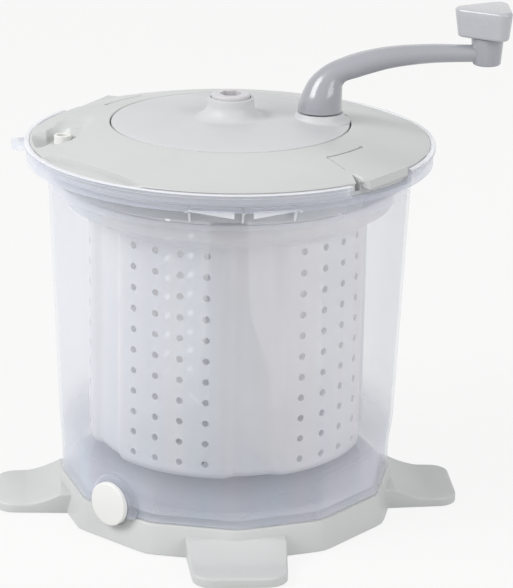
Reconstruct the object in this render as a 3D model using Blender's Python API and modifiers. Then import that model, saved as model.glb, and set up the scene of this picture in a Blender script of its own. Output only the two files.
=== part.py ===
"""Hand-cranked washing machine: a frosted tub on a footed base, a perforated
spin basket, a geared lid and a plug-in crank. Metres, +Z up. The origin is on
the tub's axis, on the floor. Azimuths turn from the front (-Y) towards +X."""

import math

import bmesh
import bpy
from mathutils import Matrix, Vector

# General clearances and finishes
SEAT_GAP = 0.0003
OVERRUN = 0.004
FUSE = 0.0006
SHARP_ANGLE = math.radians(35)
MERGE = 0.00001

# Widths that follow from one another, from the basket out to the feet
BASKET_RADIUS = 0.1046
SHOULDER_WIDTH = 0.0174
RIM_RADIUS = BASKET_RADIUS + SHOULDER_WIDTH
RIM_CLEARANCE = 0.0109
TUB_WALL = 0.0023
TUB_HIGH_RADIUS = RIM_RADIUS + RIM_CLEARANCE + TUB_WALL
BASKET_CLEARANCE = 0.0187
TUB_FOOT_RADIUS = BASKET_RADIUS + BASKET_CLEARANCE + TUB_WALL
PLINTH_SHELF = 0.0016
PLINTH_TOP_RADIUS = TUB_FOOT_RADIUS + PLINTH_SHELF
PLINTH_FLARE = 0.0050
PLINTH_FOOT_RADIUS = PLINTH_TOP_RADIUS + PLINTH_FLARE
FOOT_LENGTH = 0.0438
FOOT_REACH = PLINTH_FOOT_RADIUS + FOOT_LENGTH
FLANGE_WIDTH = 0.0150
FLANGE_RADIUS = TUB_HIGH_RADIUS + FLANGE_WIDTH
LIP_THICKNESS = 0.0020
LID_CLEARANCE = 0.0006
LID_RADIUS = FLANGE_RADIUS - LIP_THICKNESS - LID_CLEARANCE
SPIGOT_CLEARANCE = 0.0005
SPIGOT_RADIUS = TUB_HIGH_RADIUS - TUB_WALL - SPIGOT_CLEARANCE
SPIGOT_WALL = 0.0019
PAN_INSET = 0.0095
PAN_RADIUS = SPIGOT_RADIUS - SPIGOT_WALL - PAN_INSET

# Base: a twelve-sided plinth with four step-on feet
SIDES = 12
PLINTH_LIFT = 0.0010
PLINTH_TOP = 0.0231
PLINTH_WALL = 0.0030
PLATE_THICKNESS = 0.0030
CENTRE_BOSS_RADIUS = 0.0160
RIB_THICKNESS = 0.0026
RIB_BOTTOM = 0.0060
RIB_TOP_DROP = 0.0002
FOOT_ROOT_INSET = 0.0142
FOOT_ROOT = PLINTH_FOOT_RADIUS - FOOT_ROOT_INSET
FOOT_TIP_HALF_WIDTH = 0.0335
FOOT_ROOT_HALF_WIDTH = 0.0370
FOOT_CORNER_RADIUS = 0.0140
FOOT_TIP_HEIGHT = 0.0080
FOOT_ROOT_DROP = 0.0066
FOOT_ROOT_HEIGHT = PLINTH_TOP - FOOT_ROOT_DROP
FOOT_FLAT_LENGTH = 0.0220
FOOT_FLAT_END = FOOT_REACH - FOOT_FLAT_LENGTH
FOOT_RAMP_INSET = 0.0052
FOOT_RAMP_TOP = PLINTH_FOOT_RADIUS - FOOT_RAMP_INSET
FOOT_AZIMUTHS = (0, 90, 180, 270)
RAMP_STEPS = 6
CORNER_STEPS = 4
PAD_INSET = 0.0170
PAD_PLACE = FOOT_REACH - PAD_INSET
PAD_RADIUS = 0.0110
PAD_THICKNESS = 0.0030

# Heights that follow from one another, from the tub's floor up to the knob
TUB_BOTTOM = PLINTH_TOP + SEAT_GAP
TUB_FLOOR = 0.0040
TUB_FLOOR_TOP = TUB_BOTTOM + TUB_FLOOR
BASKET_LIFT = 0.0256
BASKET_BOTTOM = TUB_FLOOR_TOP + BASKET_LIFT
BASKET_SIDE = 0.1780
SHOULDER_BOTTOM = BASKET_BOTTOM + BASKET_SIDE
SHOULDER_RISE = 0.0090
SHOULDER_TOP = SHOULDER_BOTTOM + SHOULDER_RISE
RIM_HEIGHT = 0.0130
RIM_TOP = SHOULDER_TOP + RIM_HEIGHT
FLANGE_CLEARANCE = 0.0190
FLANGE_BOTTOM = RIM_TOP + FLANGE_CLEARANCE
FLANGE_THICKNESS = 0.0024
TUB_LEDGE = FLANGE_BOTTOM + FLANGE_THICKNESS
LIP_HEIGHT = 0.0115
LIP_TOP = FLANGE_BOTTOM + LIP_HEIGHT
LID_BOTTOM = TUB_LEDGE + SEAT_GAP
LID_RIM_RISE = 0.0009
LID_RIM_HEIGHT = LIP_TOP + LID_RIM_RISE
DOME_RISE = 0.0122
LID_INNER_TOP = LID_RIM_HEIGHT + DOME_RISE
COVER_EDGE_TOP = LID_INNER_TOP + SEAT_GAP
CROWN_RISE = 0.0036
COVER_CROWN = COVER_EDGE_TOP + CROWN_RISE
BOSS_HEIGHT = 0.0147
BOSS_TOP = COVER_CROWN + BOSS_HEIGHT
COLLAR_HEIGHT = 0.0075
COLLAR_TOP = COVER_EDGE_TOP + COLLAR_HEIGHT
POST_BOTTOM = COLLAR_TOP + SEAT_GAP
NECK_RISE = 0.0343
NECK_BOTTOM = POST_BOTTOM + NECK_RISE
NECK_HEIGHT = 0.0208
NECK_TOP = NECK_BOTTOM + NECK_HEIGHT
KNOB_GAP = 0.0004
KNOB_BOTTOM = NECK_TOP + KNOB_GAP
KNOB_HEIGHT = 0.0218
KNOB_TOP = KNOB_BOTTOM + KNOB_HEIGHT

# Tub
TUB_COLUMNS = 48
TUB_FACET_HEIGHT = 0.0526
TUB_ROUND_HEIGHT = TUB_BOTTOM + TUB_FACET_HEIGHT
TUB_LOW_RADIUS = TUB_FOOT_RADIUS
TUB_TAPER_START = 0.0066
TUB_LOW_HEIGHT = TUB_BOTTOM + TUB_TAPER_START
TUB_BOTTOM_CHAMFER = 0.0012
TUB_FILLET = 0.0045
LIP_BEAD = 0.0008
LIP_BEAD_HEIGHT = 0.0029
LIP_CHAMFER = 0.0005
TUB_SCREW_INSET = 0.0276
TUB_SCREW_RING = TUB_FOOT_RADIUS - TUB_SCREW_INSET
TUB_SCREW_AZIMUTHS = (45, 135, 225, 315)
GUSSET_ANGLES = (-15.6, 0.0, 15.6)
GUSSET_THICKNESS = 0.0016
GUSSET_HEIGHT = 0.0130
GUSSET_BOTTOM = FLANGE_BOTTOM - GUSSET_HEIGHT
GUSSET_SIDES = (0, 180)
LUG_ANGLES = (2.6, 16.0)
LUG_DEPTH = 0.0046
LUG_INSET = 0.0012
STRIP_WIDTH = 0.0034
STRIP_THICKNESS = 0.0008
STRIP_STEPS = 8
TAB_LENGTH = 0.0123
TAB_REACH = FLANGE_RADIUS + TAB_LENGTH
TAB_WIDTH = 0.0400
TAB_TIP_SHARE = 0.55
TAB_DROP = 0.0020
TAB_TOP = LIP_TOP - TAB_DROP
TAB_THICKNESS = 0.0032
TAB_AZIMUTH = -90

# Drain
DRAIN_AZIMUTH = -45
DRAIN_RISE = 0.0082
DRAIN_HEIGHT = TUB_BOTTOM + DRAIN_RISE
DRAIN_BORE = 0.0060
DRAIN_BOSS_RADIUS = 0.0214
DRAIN_BOSS_STAND = 0.0016
DRAIN_BOSS_FACE = TUB_FOOT_RADIUS + DRAIN_BOSS_STAND
DRAIN_BOSS_CHAMFER = 0.0035
DRAIN_SEAT_RADIUS = 0.0128
DRAIN_SEAT_DEPTH = 0.0034
CAP_RADIUS = 0.0164
CAP_THICKNESS = 0.0042
CAP_EDGE = 0.0008
CAP_STEM_GAP = 0.0006
CAP_NOSE_GAP = 0.0004
CAP_NOSE_LENGTH = 0.0060
CAP_SEAL_THICKNESS = 0.0020
CAP_SEAL_WIDTH = 0.0030

# Spindle
HUB_DROP = 0.0052
HUB_BOTTOM = BASKET_BOTTOM - HUB_DROP
SPINDLE_RADIUS = 0.0040
SPINDLE_RISE = 0.0122
SPINDLE_TOP = HUB_BOTTOM + SPINDLE_RISE
SPINDLE_DEPTH = 0.0165
SPINDLE_BOSS_RADIUS = 0.0090
SPINDLE_PLATE_MARGIN = 0.0060
SPINDLE_PLATE_RADIUS = TUB_SCREW_RING + SPINDLE_PLATE_MARGIN
SPINDLE_PLATE = 0.0050
WASHER_THICKNESS = 0.0015
WASHER_BOTTOM = HUB_BOTTOM - SEAT_GAP - WASHER_THICKNESS
WASHER_RADIUS = 0.0105
SPINDLE_BOSS_TOP = WASHER_BOTTOM - SEAT_GAP
BUSH_WALL = 0.0030
BUSH_LENGTH = 0.0162
BUSH_TOP = HUB_BOTTOM + BUSH_LENGTH
HUB_WALL = 0.0045
HUB_COVER = 0.0020
HUB_TOP = BUSH_TOP + HUB_COVER

# Basket
BASKET_PANELS = 5
BASKET_TURN = -27.5
BASKET_WALL = 0.0018
FLUTE_DEPTH = 0.0045
PANEL_OFFSETS = (-24.0, -10.8, 0.0, 10.8, 24.0)
FLUTE_OFFSETS = (26.5, 29.5, 36.0, 42.5, 45.5)
FLUTE_DEPTH_SHARES = (0.5, 0.95, 1.0, 0.95, 0.5)
BASKET_FLOOR = 0.0022
BASKET_CORNER = 0.0070
RIM_WALL = 0.0022
RIM_CHAMFER = 0.0008
HOLE_RADIUS = 0.0031
HOLE_SIDES = 4
HOLE_ROWS = 11
HOLE_RISE = 0.0125
HOLE_BOTTOM = BASKET_BOTTOM + HOLE_RISE
HOLE_TOP_MARGIN = 0.0065
HOLE_PITCH = (SHOULDER_BOTTOM - HOLE_TOP_MARGIN - HOLE_BOTTOM) / (HOLE_ROWS - 1)
HOLE_OFFSETS = (-16.2, -5.4, 5.4, 16.2)
SLOT_COUNT = 10
SLOT_WIDTH = 0.0045
SLOT_LENGTH = 0.0410
SLOT_INSET = 0.0186
SLOT_OUTER = BASKET_RADIUS - SLOT_INSET
SLOT_INNER = SLOT_OUTER - SLOT_LENGTH

# Agitator column on the basket floor
COLUMN_FLANGE_RADIUS = 0.0270
COLUMN_FLANGE = 0.0026
COLUMN_RADIUS = 0.0165
COLUMN_TOP_RADIUS = 0.0130
COLUMN_WALL = 0.0026
COLUMN_DROP = 0.0070
COLUMN_TOP = RIM_TOP - COLUMN_DROP
COLUMN_HEAD = 0.0200
VANE_COUNT = 3
VANE_REACH = 0.0330
VANE_THICKNESS = 0.0030
VANE_HEIGHT = 0.0970
VANE_TOP = BASKET_BOTTOM + VANE_HEIGHT
VANE_SLOPE_SHARE = 0.55

# Gears and their housing; the pair fills the housing from side to side
CRANK_TEETH = 49
PINION_TEETH = 17
ADDENDUM_SHARE = 0.90
DEDENDUM_SHARE = 1.15
TOOTH_TIP_SHARE = 0.24
TOOTH_ROOT_SHARE = 0.72
PAN_DROP = 0.0056
PAN_FLOOR_TOP = FLANGE_BOTTOM - PAN_DROP
PAN_FLOOR = 0.0024
PAN_WALL = 0.0024
PAN_CLEARANCE = 0.0018
GEAR_MODULE = (PAN_RADIUS - PAN_WALL - PAN_CLEARANCE) / (CRANK_TEETH + PINION_TEETH / 2 + ADDENDUM_SHARE)
CRANK_AXIS = GEAR_MODULE * (CRANK_TEETH + PINION_TEETH) / 2
PAN_HUB_WALL = 0.0024
PAN_HUB_DROP = 0.0060
GEAR_LIFT = 0.0036
GEAR_BOTTOM = PAN_FLOOR_TOP + GEAR_LIFT
GEAR_THICKNESS = 0.0085

# Gear cover
COLLAR_FOOT_RADIUS = 0.0212
COLLAR_RADIUS = 0.0174
COVER_MARGIN = 0.0012
COVER_RADIUS = CRANK_AXIS + COLLAR_FOOT_RADIUS + COVER_MARGIN
COVER_EDGE_ROUND = 0.0008
COVER_SKIN = 0.0026
COVER_CROWN_RADIUS = 0.0360
COVER_SHOULDER_SHARE = 0.75
COVER_RISE = 0.0016
BOSS_RADIUS = 0.0172
BOSS_FILLET = 0.0105
BOSS_WALL = 0.0024
FILLET_STEPS = 3
HOOK_WIDTH = 0.0080
HOOK_THICKNESS = 0.0020
HOOK_BARB = 0.0014
HOOK_TIP = 0.0028
HOOK_AZIMUTHS = (30, 150, 210, 330)

# Lid
LID_STEP = 7.5
LID_CREASE_INSET = 0.0016
COVER_PLAY = 0.0005
LID_INNER_RADIUS = COVER_RADIUS + COVER_PLAY
LID_SKIN = 0.0025
DOME_POWER = 1.35
LID_EDGE_WALL = 0.0024
LID_RING_SHARES = (0.32, 0.53, 0.74, 0.94)
LEDGE_DROP = 0.0056
LEDGE_TOP = LID_INNER_TOP - LEDGE_DROP
LEDGE_THICKNESS = 0.0024
LEDGE_WIDTH = 0.0046
SPIGOT_REACH = 0.0070
SPIGOT_BOTTOM = FLANGE_BOTTOM - SPIGOT_REACH
CHORD_AZIMUTHS = (-49.5, 49.5, 130.5, 229.5)
CHORD_INSET = 0.0116
CHORD_DISTANCE = LID_RADIUS - CHORD_INSET
BEVEL_RIM_DROP = 0.0008
WING_START = 35.5
WING_END = 53.5
WING_TANGENT = 48.5
WING_STAND = 0.0022
WING_DISTANCE = LID_RADIUS + WING_STAND
WING_RISE = 0.0026
WING_TOP = LIP_TOP + WING_RISE
WING_GAP = 0.0021
WING_BOTTOM = TUB_LEDGE + WING_GAP
WING_TURNS = (0, 180)
STEP_ANGLE = 0.2
STEP_DROP = SEAT_GAP
NOTCH_START_MARGIN = 5.0
NOTCH_END_MARGIN = 0.8
NOTCH_SHARE = 0.03
SLIT_STAND = 0.0186
SLIT_RADIUS = LID_INNER_RADIUS + SLIT_STAND
SLIT_WIDTH = 0.0012
SLIT_END_RADIUS = 0.0018
SLIT_END = 57.0
SLIT_STEPS = 5
WELL_AZIMUTH = -90
WELL_HALF_DEPTH = 0.0210
WELL_HALF_WIDTH = 0.0270
WELL_DROP = 0.0060
WELL_STEEPNESS = 2.4
LID_SCREW_INSET = 0.0090
LID_SCREW_RING = PAN_RADIUS - LID_SCREW_INSET
LID_SCREW_AZIMUTHS = (5, 120, 185, 300)
LID_BOSS_RADIUS = 0.0052

# Inlet tube standing in the lid's well, beside the gear housing
INLET_STAND = 0.0024
INLET_PLACE = PAN_RADIUS + INLET_STAND
INLET_RADIUS = 0.0064
INLET_BORE = 0.0042
INLET_RISE = 0.0024
INLET_TOP = LID_RIM_HEIGHT + INLET_RISE
INLET_TAIL = 0.0060
INLET_BOTTOM = FLANGE_BOTTOM - INLET_TAIL
INLET_ROUND = 0.0005
WELL_SHIFT = 0.0006
WELL_RADIUS = INLET_PLACE + WELL_SHIFT

# Drive shaft, crank hub and their bushes
SHAFT_RADIUS = 0.0090
SHAFT_HEX = 0.0140
SHAFT_ENGAGEMENT = 0.0140
SHAFT_BOTTOM = COLUMN_TOP - SHAFT_ENGAGEMENT
HEX_PLAY = 0.0006
SHAFT_BUSH_BORE_GAP = 0.0003
SHAFT_BUSH_WALL = 0.0024
UPPER_BUSH_RADIUS = SHAFT_RADIUS + SHAFT_BUSH_BORE_GAP + SHAFT_BUSH_WALL
UPPER_BUSH_SUNK = 0.0055
UPPER_BUSH_BOTTOM = COVER_CROWN - UPPER_BUSH_SUNK
UPPER_BUSH_LENGTH = 0.0110
UPPER_BUSH_TOP = UPPER_BUSH_BOTTOM + UPPER_BUSH_LENGTH
LOWER_BUSH_RISE = 0.0018
LOWER_BUSH_TOP = PAN_FLOOR_TOP + LOWER_BUSH_RISE
SHAFT_HEAD_RADIUS = 0.0143
BOSS_BORE = SHAFT_HEAD_RADIUS + 2 * SEAT_GAP
SHAFT_HEAD_GAP = 0.0005
SHAFT_HEAD_BOTTOM = UPPER_BUSH_TOP + SHAFT_HEAD_GAP
SHAFT_HEAD_STAND = 0.0026
SHAFT_TOP = BOSS_TOP + SHAFT_HEAD_STAND
SHAFT_HEAD_CHAMFER = 0.0012
SHAFT_COLLAR_RADIUS = 0.0112
SHAFT_COLLAR = 0.0020
SOCKET_HEX = 0.0148
SOCKET_DEPTH = 0.0080
CRANK_HUB_RADIUS = 0.0112
CRANK_HUB_TOP = COLLAR_TOP - 2 * SEAT_GAP
CRANK_JOURNAL_RADIUS = 0.0070
CRANK_SOCKET_DEPTH = 0.0208
CRANK_SOCKET_FLOOR = CRANK_HUB_TOP - CRANK_SOCKET_DEPTH
CRANK_BUSH_WALL = 0.0022
CRANK_BUSH_SUNK = 0.0039
CRANK_BUSH_BOTTOM = COVER_EDGE_TOP - CRANK_BUSH_SUNK
COLLAR_BORE = CRANK_HUB_RADIUS + SEAT_GAP + CRANK_BUSH_WALL + SEAT_GAP

# Crank and knob; the arm's sections are shares of the post's radius
CRANK_REACH = 0.1227
KNOB_AXIS = CRANK_AXIS + CRANK_REACH
POST_RADIUS = 0.0164
CRANK_SIDES = 20
ARM_SHARES = (
    ((0.996, 0.0), (-0.996, 0.0)),
    ((0.990, 0.55), (-0.955, 0.40)),
    ((0.990, 0.97), (-0.800, 0.83)),
    ((1.010, 1.17), (-0.475, 1.44)),
    ((1.180, 1.37), (0.110, 1.99)),
    ((1.670, 1.52), (0.840, 2.37)),
    ((2.200, 1.68), (1.830, 2.70)),
    ((3.280, 1.96), (3.160, 2.94)),
    ((4.860, 2.16), (4.830, 3.035)),
    ((6.400, 2.21), (6.410, 3.010)),
    ((7.250, 2.20), (7.260, 2.990)),
)
NECK_RADIUS = 0.0104
NECK_TOP_RADIUS = 0.0121
NECK_CHAMFER = 0.0010
CRANK_HEX = 0.0134
CRANK_HEX_LIFT = 0.0015
CRANK_HEX_BOTTOM = CRANK_SOCKET_FLOOR + CRANK_HEX_LIFT
CRANK_HEX_INSERT = 0.0133
CRANK_HEX_TOP = POST_BOTTOM + CRANK_HEX_INSERT
KNOB_CORNER_REACH = 0.0166
KNOB_CORNER_RADIUS = 0.0080
KNOB_TURN = 176
KNOB_DRAFT_SHARE = 0.90
KNOB_ROUND = 0.0026
KNOB_ARC_STEPS = 6
PIN_RADIUS = 0.0030
PIN_HEAD_RADIUS = 0.0052
PIN_HEAD = 0.0030
PIN_COVER = 0.0080
PIN_TOP = KNOB_TOP - PIN_COVER
PIN_HEAD_SEAT = 0.0016

# Screws
SCREW_RADIUS = 0.0018
SCREW_HEAD_RADIUS = 0.0036
SCREW_HEAD = 0.0020
SCREW_LENGTH = 0.0095
BASE_SCREW_LENGTH = 0.0105
SCREW_SIDES = 8

# Facets of turned pieces
FINE_STEPS = 36
ROUND_STEPS = 24
SMALL_STEPS = 16


def clear_scene():
    for item in list(bpy.data.objects):
        bpy.data.objects.remove(item, do_unlink=True)


def new_collection(name):
    group = bpy.data.collections.new(name)
    bpy.context.scene.collection.children.link(group)
    return group


def polar(radius, azimuth, height=0.0):
    """A point at an azimuth in degrees, turned from -Y towards +X."""
    angle = math.radians(azimuth)
    return Vector((radius * math.sin(angle), -radius * math.cos(angle), height))


def make_material(name, colour, roughness, metallic=0.0, transmission=0.0):
    material = bpy.data.materials.new(name)
    material.use_nodes = True
    shader = material.node_tree.nodes["Principled BSDF"]
    shader.inputs["Base Color"].default_value = (*colour, 1.0)
    shader.inputs["Roughness"].default_value = roughness
    shader.inputs["Metallic"].default_value = metallic
    shader.inputs["Transmission Weight"].default_value = transmission
    material.diffuse_color = (*colour, 1.0)
    return material


def link(name, mesh, material=None, cutter=False):
    item = bpy.data.objects.new(name, mesh)
    if cutter:
        CUTTERS.objects.link(item)
        item.display_type = "WIRE"
        item.hide_render = True
    else:
        PARTS.objects.link(item)
        item.data.materials.append(material)
    return item


def shade(mesh):
    mesh.shade_smooth()
    mesh.set_sharp_from_angle(angle=SHARP_ANGLE)


def evaluated_mesh(item):
    bpy.context.view_layer.update()
    graph = bpy.context.evaluated_depsgraph_get()
    mesh = bpy.data.meshes.new_from_object(item.evaluated_get(graph))
    mesh.transform(item.matrix_world)
    return mesh


def weld(mesh):
    work = bmesh.new()
    work.from_mesh(mesh)
    bmesh.ops.remove_doubles(work, verts=work.verts, dist=MERGE)
    bmesh.ops.recalc_face_normals(work, faces=work.faces)
    work.to_mesh(mesh)
    work.free()
    return mesh


def skin(rings, closed=False):
    """A mesh through rings of points; open stacks are capped at both ends."""
    work = bmesh.new()
    rows = [[work.verts.new(point) for point in ring] for ring in rings]
    count = len(rows[0])
    pairs = list(zip(rows, rows[1:]))
    if closed:
        pairs.append((rows[-1], rows[0]))
    for low, high in pairs:
        for i in range(count):
            j = (i + 1) % count
            work.faces.new((low[i], low[j], high[j], high[i]))
    if not closed:
        work.faces.new(rows[0])
        work.faces.new(rows[-1])
    bmesh.ops.recalc_face_normals(work, faces=work.faces)
    mesh = bpy.data.meshes.new("skin")
    work.to_mesh(mesh)
    work.free()
    shade(mesh)
    return mesh


def cone_mesh(low_radius, high_radius, bottom, top, sides, place=(0.0, 0.0)):
    work = bmesh.new()
    bmesh.ops.create_cone(
        work, cap_ends=True, segments=sides,
        radius1=low_radius, radius2=high_radius, depth=top - bottom,
        matrix=Matrix.Translation((place[0], place[1], (top + bottom) / 2)),
    )
    mesh = bpy.data.meshes.new("cone")
    work.to_mesh(mesh)
    work.free()
    shade(mesh)
    return mesh


def rod_mesh(radius, bottom, top, sides, place=(0.0, 0.0)):
    return cone_mesh(radius, radius, bottom, top, sides, place)


def box_mesh(low, high):
    work = bmesh.new()
    centre = [(a + b) / 2 for a, b in zip(low, high)]
    size = [b - a for a, b in zip(low, high)]
    frame = Matrix.Translation(centre) @ Matrix.Diagonal((*size, 1.0))
    bmesh.ops.create_cube(work, size=1.0, matrix=frame)
    mesh = bpy.data.meshes.new("box")
    work.to_mesh(mesh)
    work.free()
    return mesh


def turned_mesh(profile, steps, place=(0.0, 0.0), on_axis=False):
    """Turn a profile of (radius, height), run down its outer side, about Z."""
    outline = bpy.data.meshes.new("profile")
    points = [(radius, 0.0, height) for radius, height in profile]
    edges = [(i, i + 1) for i in range(len(points) - 1)]
    if not on_axis:
        edges.append((len(points) - 1, 0))
    outline.from_pydata(points, edges, [])
    item = bpy.data.objects.new("turning", outline)
    bpy.context.scene.collection.objects.link(item)
    screw = item.modifiers.new("Screw", "SCREW")
    screw.steps = steps
    screw.render_steps = steps
    screw.use_merge_vertices = True
    screw.merge_threshold = MERGE
    mesh = weld(evaluated_mesh(item))
    bpy.data.objects.remove(item, do_unlink=True)
    mesh.transform(Matrix.Translation((place[0], place[1], 0.0)))
    shade(mesh)
    return mesh


def flat_mesh(outlines, bottom, top):
    """Extrude flat outlines; the second and later ones are holes."""
    curve = bpy.data.curves.new("outline", "CURVE")
    curve.dimensions = "2D"
    curve.fill_mode = "BOTH"
    curve.extrude = (top - bottom) / 2
    for outline in outlines:
        spline = curve.splines.new("POLY")
        spline.points.add(len(outline) - 1)
        for point, place in zip(spline.points, outline):
            point.co = (place[0], place[1], 0.0, 1.0)
        spline.use_cyclic_u = True
    item = bpy.data.objects.new("outline", curve)
    bpy.context.scene.collection.objects.link(item)
    item.location = (0.0, 0.0, (top + bottom) / 2)
    mesh = weld(evaluated_mesh(item))
    bpy.data.objects.remove(item, do_unlink=True)
    bpy.data.curves.remove(curve)
    return mesh


def circle_points(radius, sides, place=(0.0, 0.0), turn=0.0):
    points = []
    for i in range(sides):
        angle = 2 * math.pi * i / sides + math.radians(turn)
        points.append((place[0] + radius * math.cos(angle), place[1] + radius * math.sin(angle)))
    return points


def hex_points(across_flats, place=(0.0, 0.0)):
    return circle_points(across_flats / math.sqrt(3), SIDES // 2, place)


def combine(item, mesh, operation, label):
    """Add a Boolean of a mesh that stays in the cutters' collection."""
    tool = link(item.name + "_" + label, mesh, cutter=True)
    modifier = item.modifiers.new(label, "BOOLEAN")
    modifier.operation = operation
    modifier.solver = "EXACT"
    modifier.object = tool
    return tool


def turn_mesh(mesh, azimuth):
    mesh.transform(Matrix.Rotation(math.radians(azimuth), 4, "Z"))
    return mesh


def merged(meshes):
    """One mesh that holds several separate solids, for one Boolean."""
    work = bmesh.new()
    for mesh in meshes:
        work.from_mesh(mesh)
    result = bpy.data.meshes.new("merged")
    work.to_mesh(result)
    work.free()
    return result


def radial_mesh(mesh, azimuth, distance, height):
    """Lay a mesh built along +Z outwards along an azimuth."""
    outward = polar(1.0, azimuth)
    spin = outward.to_track_quat("Z", "Y").to_matrix().to_4x4()
    mesh.transform(Matrix.Translation(polar(distance, azimuth, height)) @ spin)
    return mesh


def upright_plate(outline, thickness, azimuth):
    """A plate whose outline is (radius, height), standing along an azimuth."""
    mesh = flat_mesh([outline], -thickness / 2, thickness / 2)
    mesh.transform(Matrix.Rotation(math.radians(90), 4, "X"))
    return turn_mesh(mesh, azimuth - 90)


def smoothstep(value):
    value = min(max(value, 0.0), 1.0)
    return value * value * (3 - 2 * value)


def polygon_radius(circumradius, azimuth, sides=SIDES):
    step = 360.0 / sides
    offset = (azimuth % step) - step / 2
    return circumradius * math.cos(math.radians(step / 2)) / math.cos(math.radians(offset))


def foot_solid(azimuth):
    """A rounded step plate whose top climbs a hollow ramp to the plinth."""
    outline = [(-FOOT_ROOT_HALF_WIDTH, -FOOT_ROOT), (FOOT_ROOT_HALF_WIDTH, -FOOT_ROOT)]
    for side in (1, -1):
        centre_x = side * (FOOT_TIP_HALF_WIDTH - FOOT_CORNER_RADIUS)
        centre_y = -(FOOT_REACH - FOOT_CORNER_RADIUS)
        for i in range(CORNER_STEPS + 1):
            share = i / CORNER_STEPS if side > 0 else 1 - i / CORNER_STEPS
            angle = math.radians(90 * share)
            outline.append((
                centre_x + side * FOOT_CORNER_RADIUS * math.cos(angle),
                centre_y - FOOT_CORNER_RADIUS * math.sin(angle),
            ))
    plan = flat_mesh([outline], PLINTH_LIFT, PLINTH_TOP)
    side_view = [
        (FOOT_ROOT - OVERRUN, PLINTH_LIFT - OVERRUN),
        (FOOT_REACH + OVERRUN, PLINTH_LIFT - OVERRUN),
        (FOOT_REACH + OVERRUN, FOOT_TIP_HEIGHT),
    ]
    for i in range(RAMP_STEPS + 1):
        share = i / RAMP_STEPS
        reach = FOOT_FLAT_END + (FOOT_RAMP_TOP - FOOT_FLAT_END) * share
        rise = (FOOT_ROOT_HEIGHT - FOOT_TIP_HEIGHT) * share ** 1.6
        side_view.append((reach, FOOT_TIP_HEIGHT + rise))
    side_view.append((FOOT_ROOT - OVERRUN, FOOT_ROOT_HEIGHT))
    width = 2 * (FOOT_ROOT_HALF_WIDTH + OVERRUN)
    profile = upright_plate(side_view, width, 0)
    foot = link("foot_blank", plan, cutter=True)
    combine(foot, profile, "INTERSECT", "ramp")
    mesh = weld(evaluated_mesh(foot))
    return turn_mesh(mesh, azimuth)


def make_base(material):
    drop = (PLINTH_FOOT_RADIUS - PLINTH_TOP_RADIUS) / (PLINTH_TOP - PLINTH_LIFT)
    shell = cone_mesh(PLINTH_FOOT_RADIUS, PLINTH_TOP_RADIUS, PLINTH_LIFT, PLINTH_TOP, SIDES)
    base = link("base_stand", shell, material)
    ceiling = PLINTH_TOP - PLATE_THICKNESS
    hollow_low = PLINTH_FOOT_RADIUS - PLINTH_WALL + drop * OVERRUN
    hollow_high = PLINTH_FOOT_RADIUS - PLINTH_WALL - drop * (ceiling - PLINTH_LIFT)
    hollow = cone_mesh(hollow_low, hollow_high, PLINTH_LIFT - OVERRUN, ceiling, SIDES)
    feet = [foot_solid(azimuth) for azimuth in FOOT_AZIMUTHS]
    for i, foot in enumerate(feet):
        combine(base, foot, "UNION", "foot_%d" % i)
    combine(base, hollow, "DIFFERENCE", "hollow")
    pockets = []
    for azimuth in FOOT_AZIMUTHS:
        place = polar(PAD_PLACE, azimuth)
        top = PAD_THICKNESS + SEAT_GAP
        pockets.append(rod_mesh(PAD_RADIUS + SEAT_GAP, -OVERRUN, top, SMALL_STEPS, place))
    holes = []
    for azimuth in TUB_SCREW_AZIMUTHS:
        place = polar(TUB_SCREW_RING, azimuth)
        radius = SCREW_RADIUS + SEAT_GAP
        holes.append(rod_mesh(radius, ceiling - OVERRUN, PLINTH_TOP + OVERRUN, SCREW_SIDES, place))
    combine(base, merged(pockets + holes), "DIFFERENCE", "pockets")
    back = TUB_FOOT_RADIUS * math.cos(math.pi / SIDES) - TUB_WALL - DRAIN_BOSS_FACE
    reach = PLINTH_FOOT_RADIUS + OVERRUN - DRAIN_BOSS_FACE
    bite = rod_mesh(DRAIN_BOSS_RADIUS + 2 * SEAT_GAP, back, reach, ROUND_STEPS)
    bite = radial_mesh(bite, DRAIN_AZIMUTH, DRAIN_BOSS_FACE, DRAIN_HEIGHT)
    combine(base, bite, "DIFFERENCE", "drain_bite")
    make_cross(material, hollow_high, ceiling)
    return base


def make_cross(material, reach, ceiling):
    """A centre boss with four ribs, seated under the plinth's plate."""
    top = ceiling - SEAT_GAP
    boss = rod_mesh(CENTRE_BOSS_RADIUS, 0.0, top, SMALL_STEPS)
    cross = link("rib_cross", boss, material)
    rib_end = reach * math.cos(math.pi / SIDES) - SEAT_GAP
    for azimuth in FOOT_AZIMUTHS:
        outline = [
            (CENTRE_BOSS_RADIUS / 2, RIB_BOTTOM), (rib_end, RIB_BOTTOM),
            (rib_end, top - RIB_TOP_DROP), (CENTRE_BOSS_RADIUS / 2, top - RIB_TOP_DROP),
        ]
        rib = upright_plate(outline, RIB_THICKNESS, azimuth)
        combine(cross, rib, "UNION", "rib_%d" % azimuth)


def make_pads(material):
    names = ("foot_pad_front", "foot_pad_right", "foot_pad_back", "foot_pad_left")
    for name, azimuth in zip(names, FOOT_AZIMUTHS):
        place = polar(PAD_PLACE, azimuth)
        link(name, rod_mesh(PAD_RADIUS, 0.0, PAD_THICKNESS, SMALL_STEPS, place), material)


def tub_outer(azimuth, height):
    """Twelve flats at the floor that fade into a slightly tapered round."""
    slope = (TUB_HIGH_RADIUS - TUB_LOW_RADIUS) / (FLANGE_BOTTOM - TUB_LOW_HEIGHT)
    rounded = TUB_LOW_RADIUS + slope * (height - TUB_LOW_HEIGHT)
    flat = polygon_radius(TUB_FOOT_RADIUS, azimuth)
    share = smoothstep((height - TUB_BOTTOM) / (TUB_ROUND_HEIGHT - TUB_BOTTOM))
    return flat * (1 - share) + rounded * share


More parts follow.
